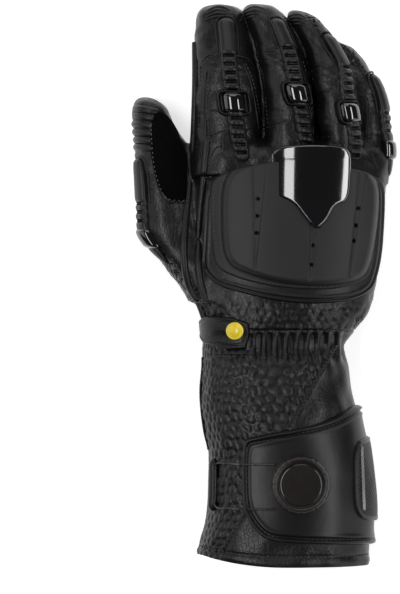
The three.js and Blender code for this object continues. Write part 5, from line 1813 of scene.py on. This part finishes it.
class GAUNTLET_OT_dial(bpy.types.Operator):
    """Make the lace dial's base, knob and cover, and finish the lace and its guide"""
    bl_idname = "gauntlet.dial"
    bl_label = "Lace dial"

    def execute(self, context):
        # Make the lace dial's knob ring, its cover and the lace's guide tab, and finish the dial's base,
        # spool and lace
        plastic = dial_material()
        low, high = (np.array(corner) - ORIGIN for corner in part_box("dial_knob"))
        x, y = (low[0] + high[0]) / 2, (low[1] + high[1]) / 2
        base = high[2]
        profile = [(DIAL_RADIUS * r, z, f) for r, z, f in (
            (0.9, low[2], 1), (0.99, low[2] + 0.0003, 1), (1.0, low[2] + 0.001, 1), (1.0, low[2] + 0.0032, 1),
            (0.985, low[2] + 0.0042, 1), (0.95, base - 0.0009, 1), (0.925, base - 0.0003, 1),
            (0.9, base - 0.00005, 1), (0.87, base, 1), (0.83, base - 0.0002, 1), (0.79, base - 0.0007, 0.6),
            (0.755, base - 0.0013, 0), (0.74, base - 0.0016, 0), (0.3, base - 0.0016, 0),
        )]
        knob = lathe("dial_ring", profile, (x, y, 0), plastic, 240, "dial_knob", facets)
        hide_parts("dial_knob")
        cover_profile = [(WINDOW_RADIUS * r, base + z, 0) for r, z in (
            (0.97, -0.0013), (0.985, -0.0011), (0.97, -0.0009), (0.93, -0.0008), (0.7, -0.00068),
            (0.4, -0.00056), (0.1, -0.0005),
        )]
        smoked = finish("dial_cover_smoked", (0.012, 0.01, 0.009), (0.02, 0.017, 0.015), (0.12, 0.2),
                        **{"Coat Weight": 0.6, "Coat Roughness": 0.08})
        cover = lathe("dial_cover", cover_profile, (x, y, 0), smoked, 120, "dial_knob")
        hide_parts("dial_cap")
        for node in ("dial_base", "dial_spool"):
            self.paint(node, plastic)
        self.guide()
        wire = finish("coated_lace", (0.02, 0.02, 0.021), (0.09, 0.09, 0.092), (0.25, 0.4), grain=0.00008,
                      pores=1800.0, Metallic=0.6)
        self.paint("closure_lace", wire)
        return {"FINISHED"}

    @staticmethod
    def guide():
        """Rolled leather tab that the lace runs round."""
        half = 0.0046
        centre = unrolled([cuff_spot(-0.43, 0.657)])[0]
        outline = rounded_box(half, 0.0152, centre[1], 120, 3.0) + (centre[0], 0)
        tab = slab("lace_tab", outline, centre, on_sleeve,
                   lambda places, away: 0.0003 + 0.0029 * np.sqrt(np.clip(1 - (1 - away / half) ** 2, 0, 1)),
                   0.0, leather_material("plain"), rings=26)
        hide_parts("lace_guide")

    @staticmethod
    def paint(node, material):
        """Give a solid of the frame its finish."""
        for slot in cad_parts[node].material_slots:
            slot.material = material


# Stage
def area_light(name, centre, distance, lean, turn, size, power):
    """Soft box at an angle lean from straight up, turned about the vertical from +X."""
    light = bpy.data.lights.new(name, "AREA")
    light.shape = "RECTANGLE"
    light.size, light.size_y = size
    light.energy = power * bpy.context.scene.gauntlet_stage.light_power
    holder = bpy.data.objects.new(name, light)
    lean, turn = math.radians(lean), math.radians(turn)
    holder.location = centre + distance * np.array([
        math.sin(lean) * math.cos(turn), math.sin(lean) * math.sin(turn), math.cos(lean)])
    holder.rotation_euler = (0, lean, turn)
    bpy.context.scene.collection.objects.link(holder)


class GAUNTLET_OT_stage(bpy.types.Operator):
    """Make the floor, the soft lights and the camera"""
    bl_idname = "gauntlet.stage"
    bl_label = "Stage"

    def execute(self, context):
        scene = context.scene
        settings = scene.gauntlet_stage
        picture = (400, 594)
        centre_pixel = (200.0, 297.0)
        middle = spot(centre_pixel) + ORIGIN[:2]
        aim_height = 0.03
        sensor = 36.0
        camera_data = bpy.data.cameras.new("camera")
        camera_data.sensor_fit = "VERTICAL"
        camera_data.sensor_height = sensor
        camera_data.lens = sensor * settings.camera_height / (picture[1] * PIXEL)
        camera = bpy.data.objects.new("camera", camera_data)
        camera.location = (middle[0], middle[1], aim_height + settings.camera_height)
        scene.collection.objects.link(camera)
        scene.camera = camera
        self.floor(settings)
        centre = np.array([0.0, 0.0, 0.03])
        area_light("left_strip", centre, 1.5, 24, 180, (0.3, 1.2), 9)
        area_light("right_strip", centre, 1.5, 37, 0, (0.2, 1.2), 7.5)
        area_light("left_box", centre, 1.6, 68, 165, (1.2, 1.4), 5.5)
        area_light("right_box", centre, 1.6, 72, -30, (1.2, 1.4), 7)
        area_light("far_box", centre, 1.6, 60, 90, (1.4, 1.0), 7)
        world = scene.world or bpy.data.worlds.new("studio")
        scene.world = world
        world.use_nodes = True
        world.node_tree.nodes["Background"].inputs[0].default_value = (0.85, 0.87, 0.9, 1)
        world.node_tree.nodes["Background"].inputs[1].default_value = 0.08
        scene.view_settings.view_transform = "Standard"
        return {"FINISHED"}

    @staticmethod
    def floor(settings):
        half = 3.0
        mesh = bpy.data.meshes.new("floor")
        corners = [(-half, -half, 0), (half, -half, 0), (half, half, 0), (-half, half, 0)]
        mesh.from_pydata(corners, [], [(0, 1, 2, 3)])
        material = bpy.data.materials.new("floor_paper")
        material.use_nodes = True
        shader = material.node_tree.nodes["Principled BSDF"]
        shader.inputs["Base Color"].default_value = rgba(settings.floor_colour)
        shader.inputs["Roughness"].default_value = 0.9
        shader.inputs["Specular IOR Level"].default_value = 0.1
        shader.inputs["Emission Color"].default_value = (1, 1, 1, 1)
        shader.inputs["Emission Strength"].default_value = 0.6
        mesh.materials.append(material)
        floor = bpy.data.objects.new("floor", mesh)
        floor.location.z = -0.0004
        bpy.context.scene.collection.objects.link(floor)


STEPS = ("stage", "hand", "seams", "cuff", "knuckles", "fingers", "closures", "dial")


class GAUNTLET_PT_panel(bpy.types.Panel):
    """Lists the steps that make the gauntlet"""
    bl_idname = "GAUNTLET_PT_panel"
    bl_label = "Gauntlet"
    bl_space_type = "VIEW_3D"
    bl_region_type = "UI"
    bl_category = "Gauntlet"

    def draw(self, context):
        for step in STEPS:
            self.layout.operator("gauntlet." + step)
        for group in (context.scene.gauntlet_leather, context.scene.gauntlet_armour,
                      context.scene.gauntlet_closure, context.scene.gauntlet_stage):
            for name in group.bl_rna.properties.keys():
                if name not in ("rna_type", "name"):
                    self.layout.prop(group, name)


SETTINGS = {
    "gauntlet_leather": LeatherSettings,
    "gauntlet_armour": ArmourSettings,
    "gauntlet_closure": ClosureSettings,
    "gauntlet_stage": StageSettings,
}
CLASSES = (
    LeatherSettings, ArmourSettings, ClosureSettings, StageSettings, GAUNTLET_OT_hand, GAUNTLET_OT_seams,
    GAUNTLET_OT_cuff, GAUNTLET_OT_knuckles, GAUNTLET_OT_fingers, GAUNTLET_OT_closures, GAUNTLET_OT_dial,
    GAUNTLET_OT_stage, GAUNTLET_PT_panel,
)


def register():
    for cls in CLASSES:
        bpy.utils.register_class(cls)
    for name, group in SETTINGS.items():
        setattr(bpy.types.Scene, name, bpy.props.PointerProperty(type=group))


def unregister():
    for name in SETTINGS:
        delattr(bpy.types.Scene, name)
    for cls in reversed(CLASSES):
        bpy.utils.unregister_class(cls)


def main():
    register()
    for step in STEPS:
        getattr(bpy.ops.gauntlet, step)()


if __name__ == "__main__":
    main()
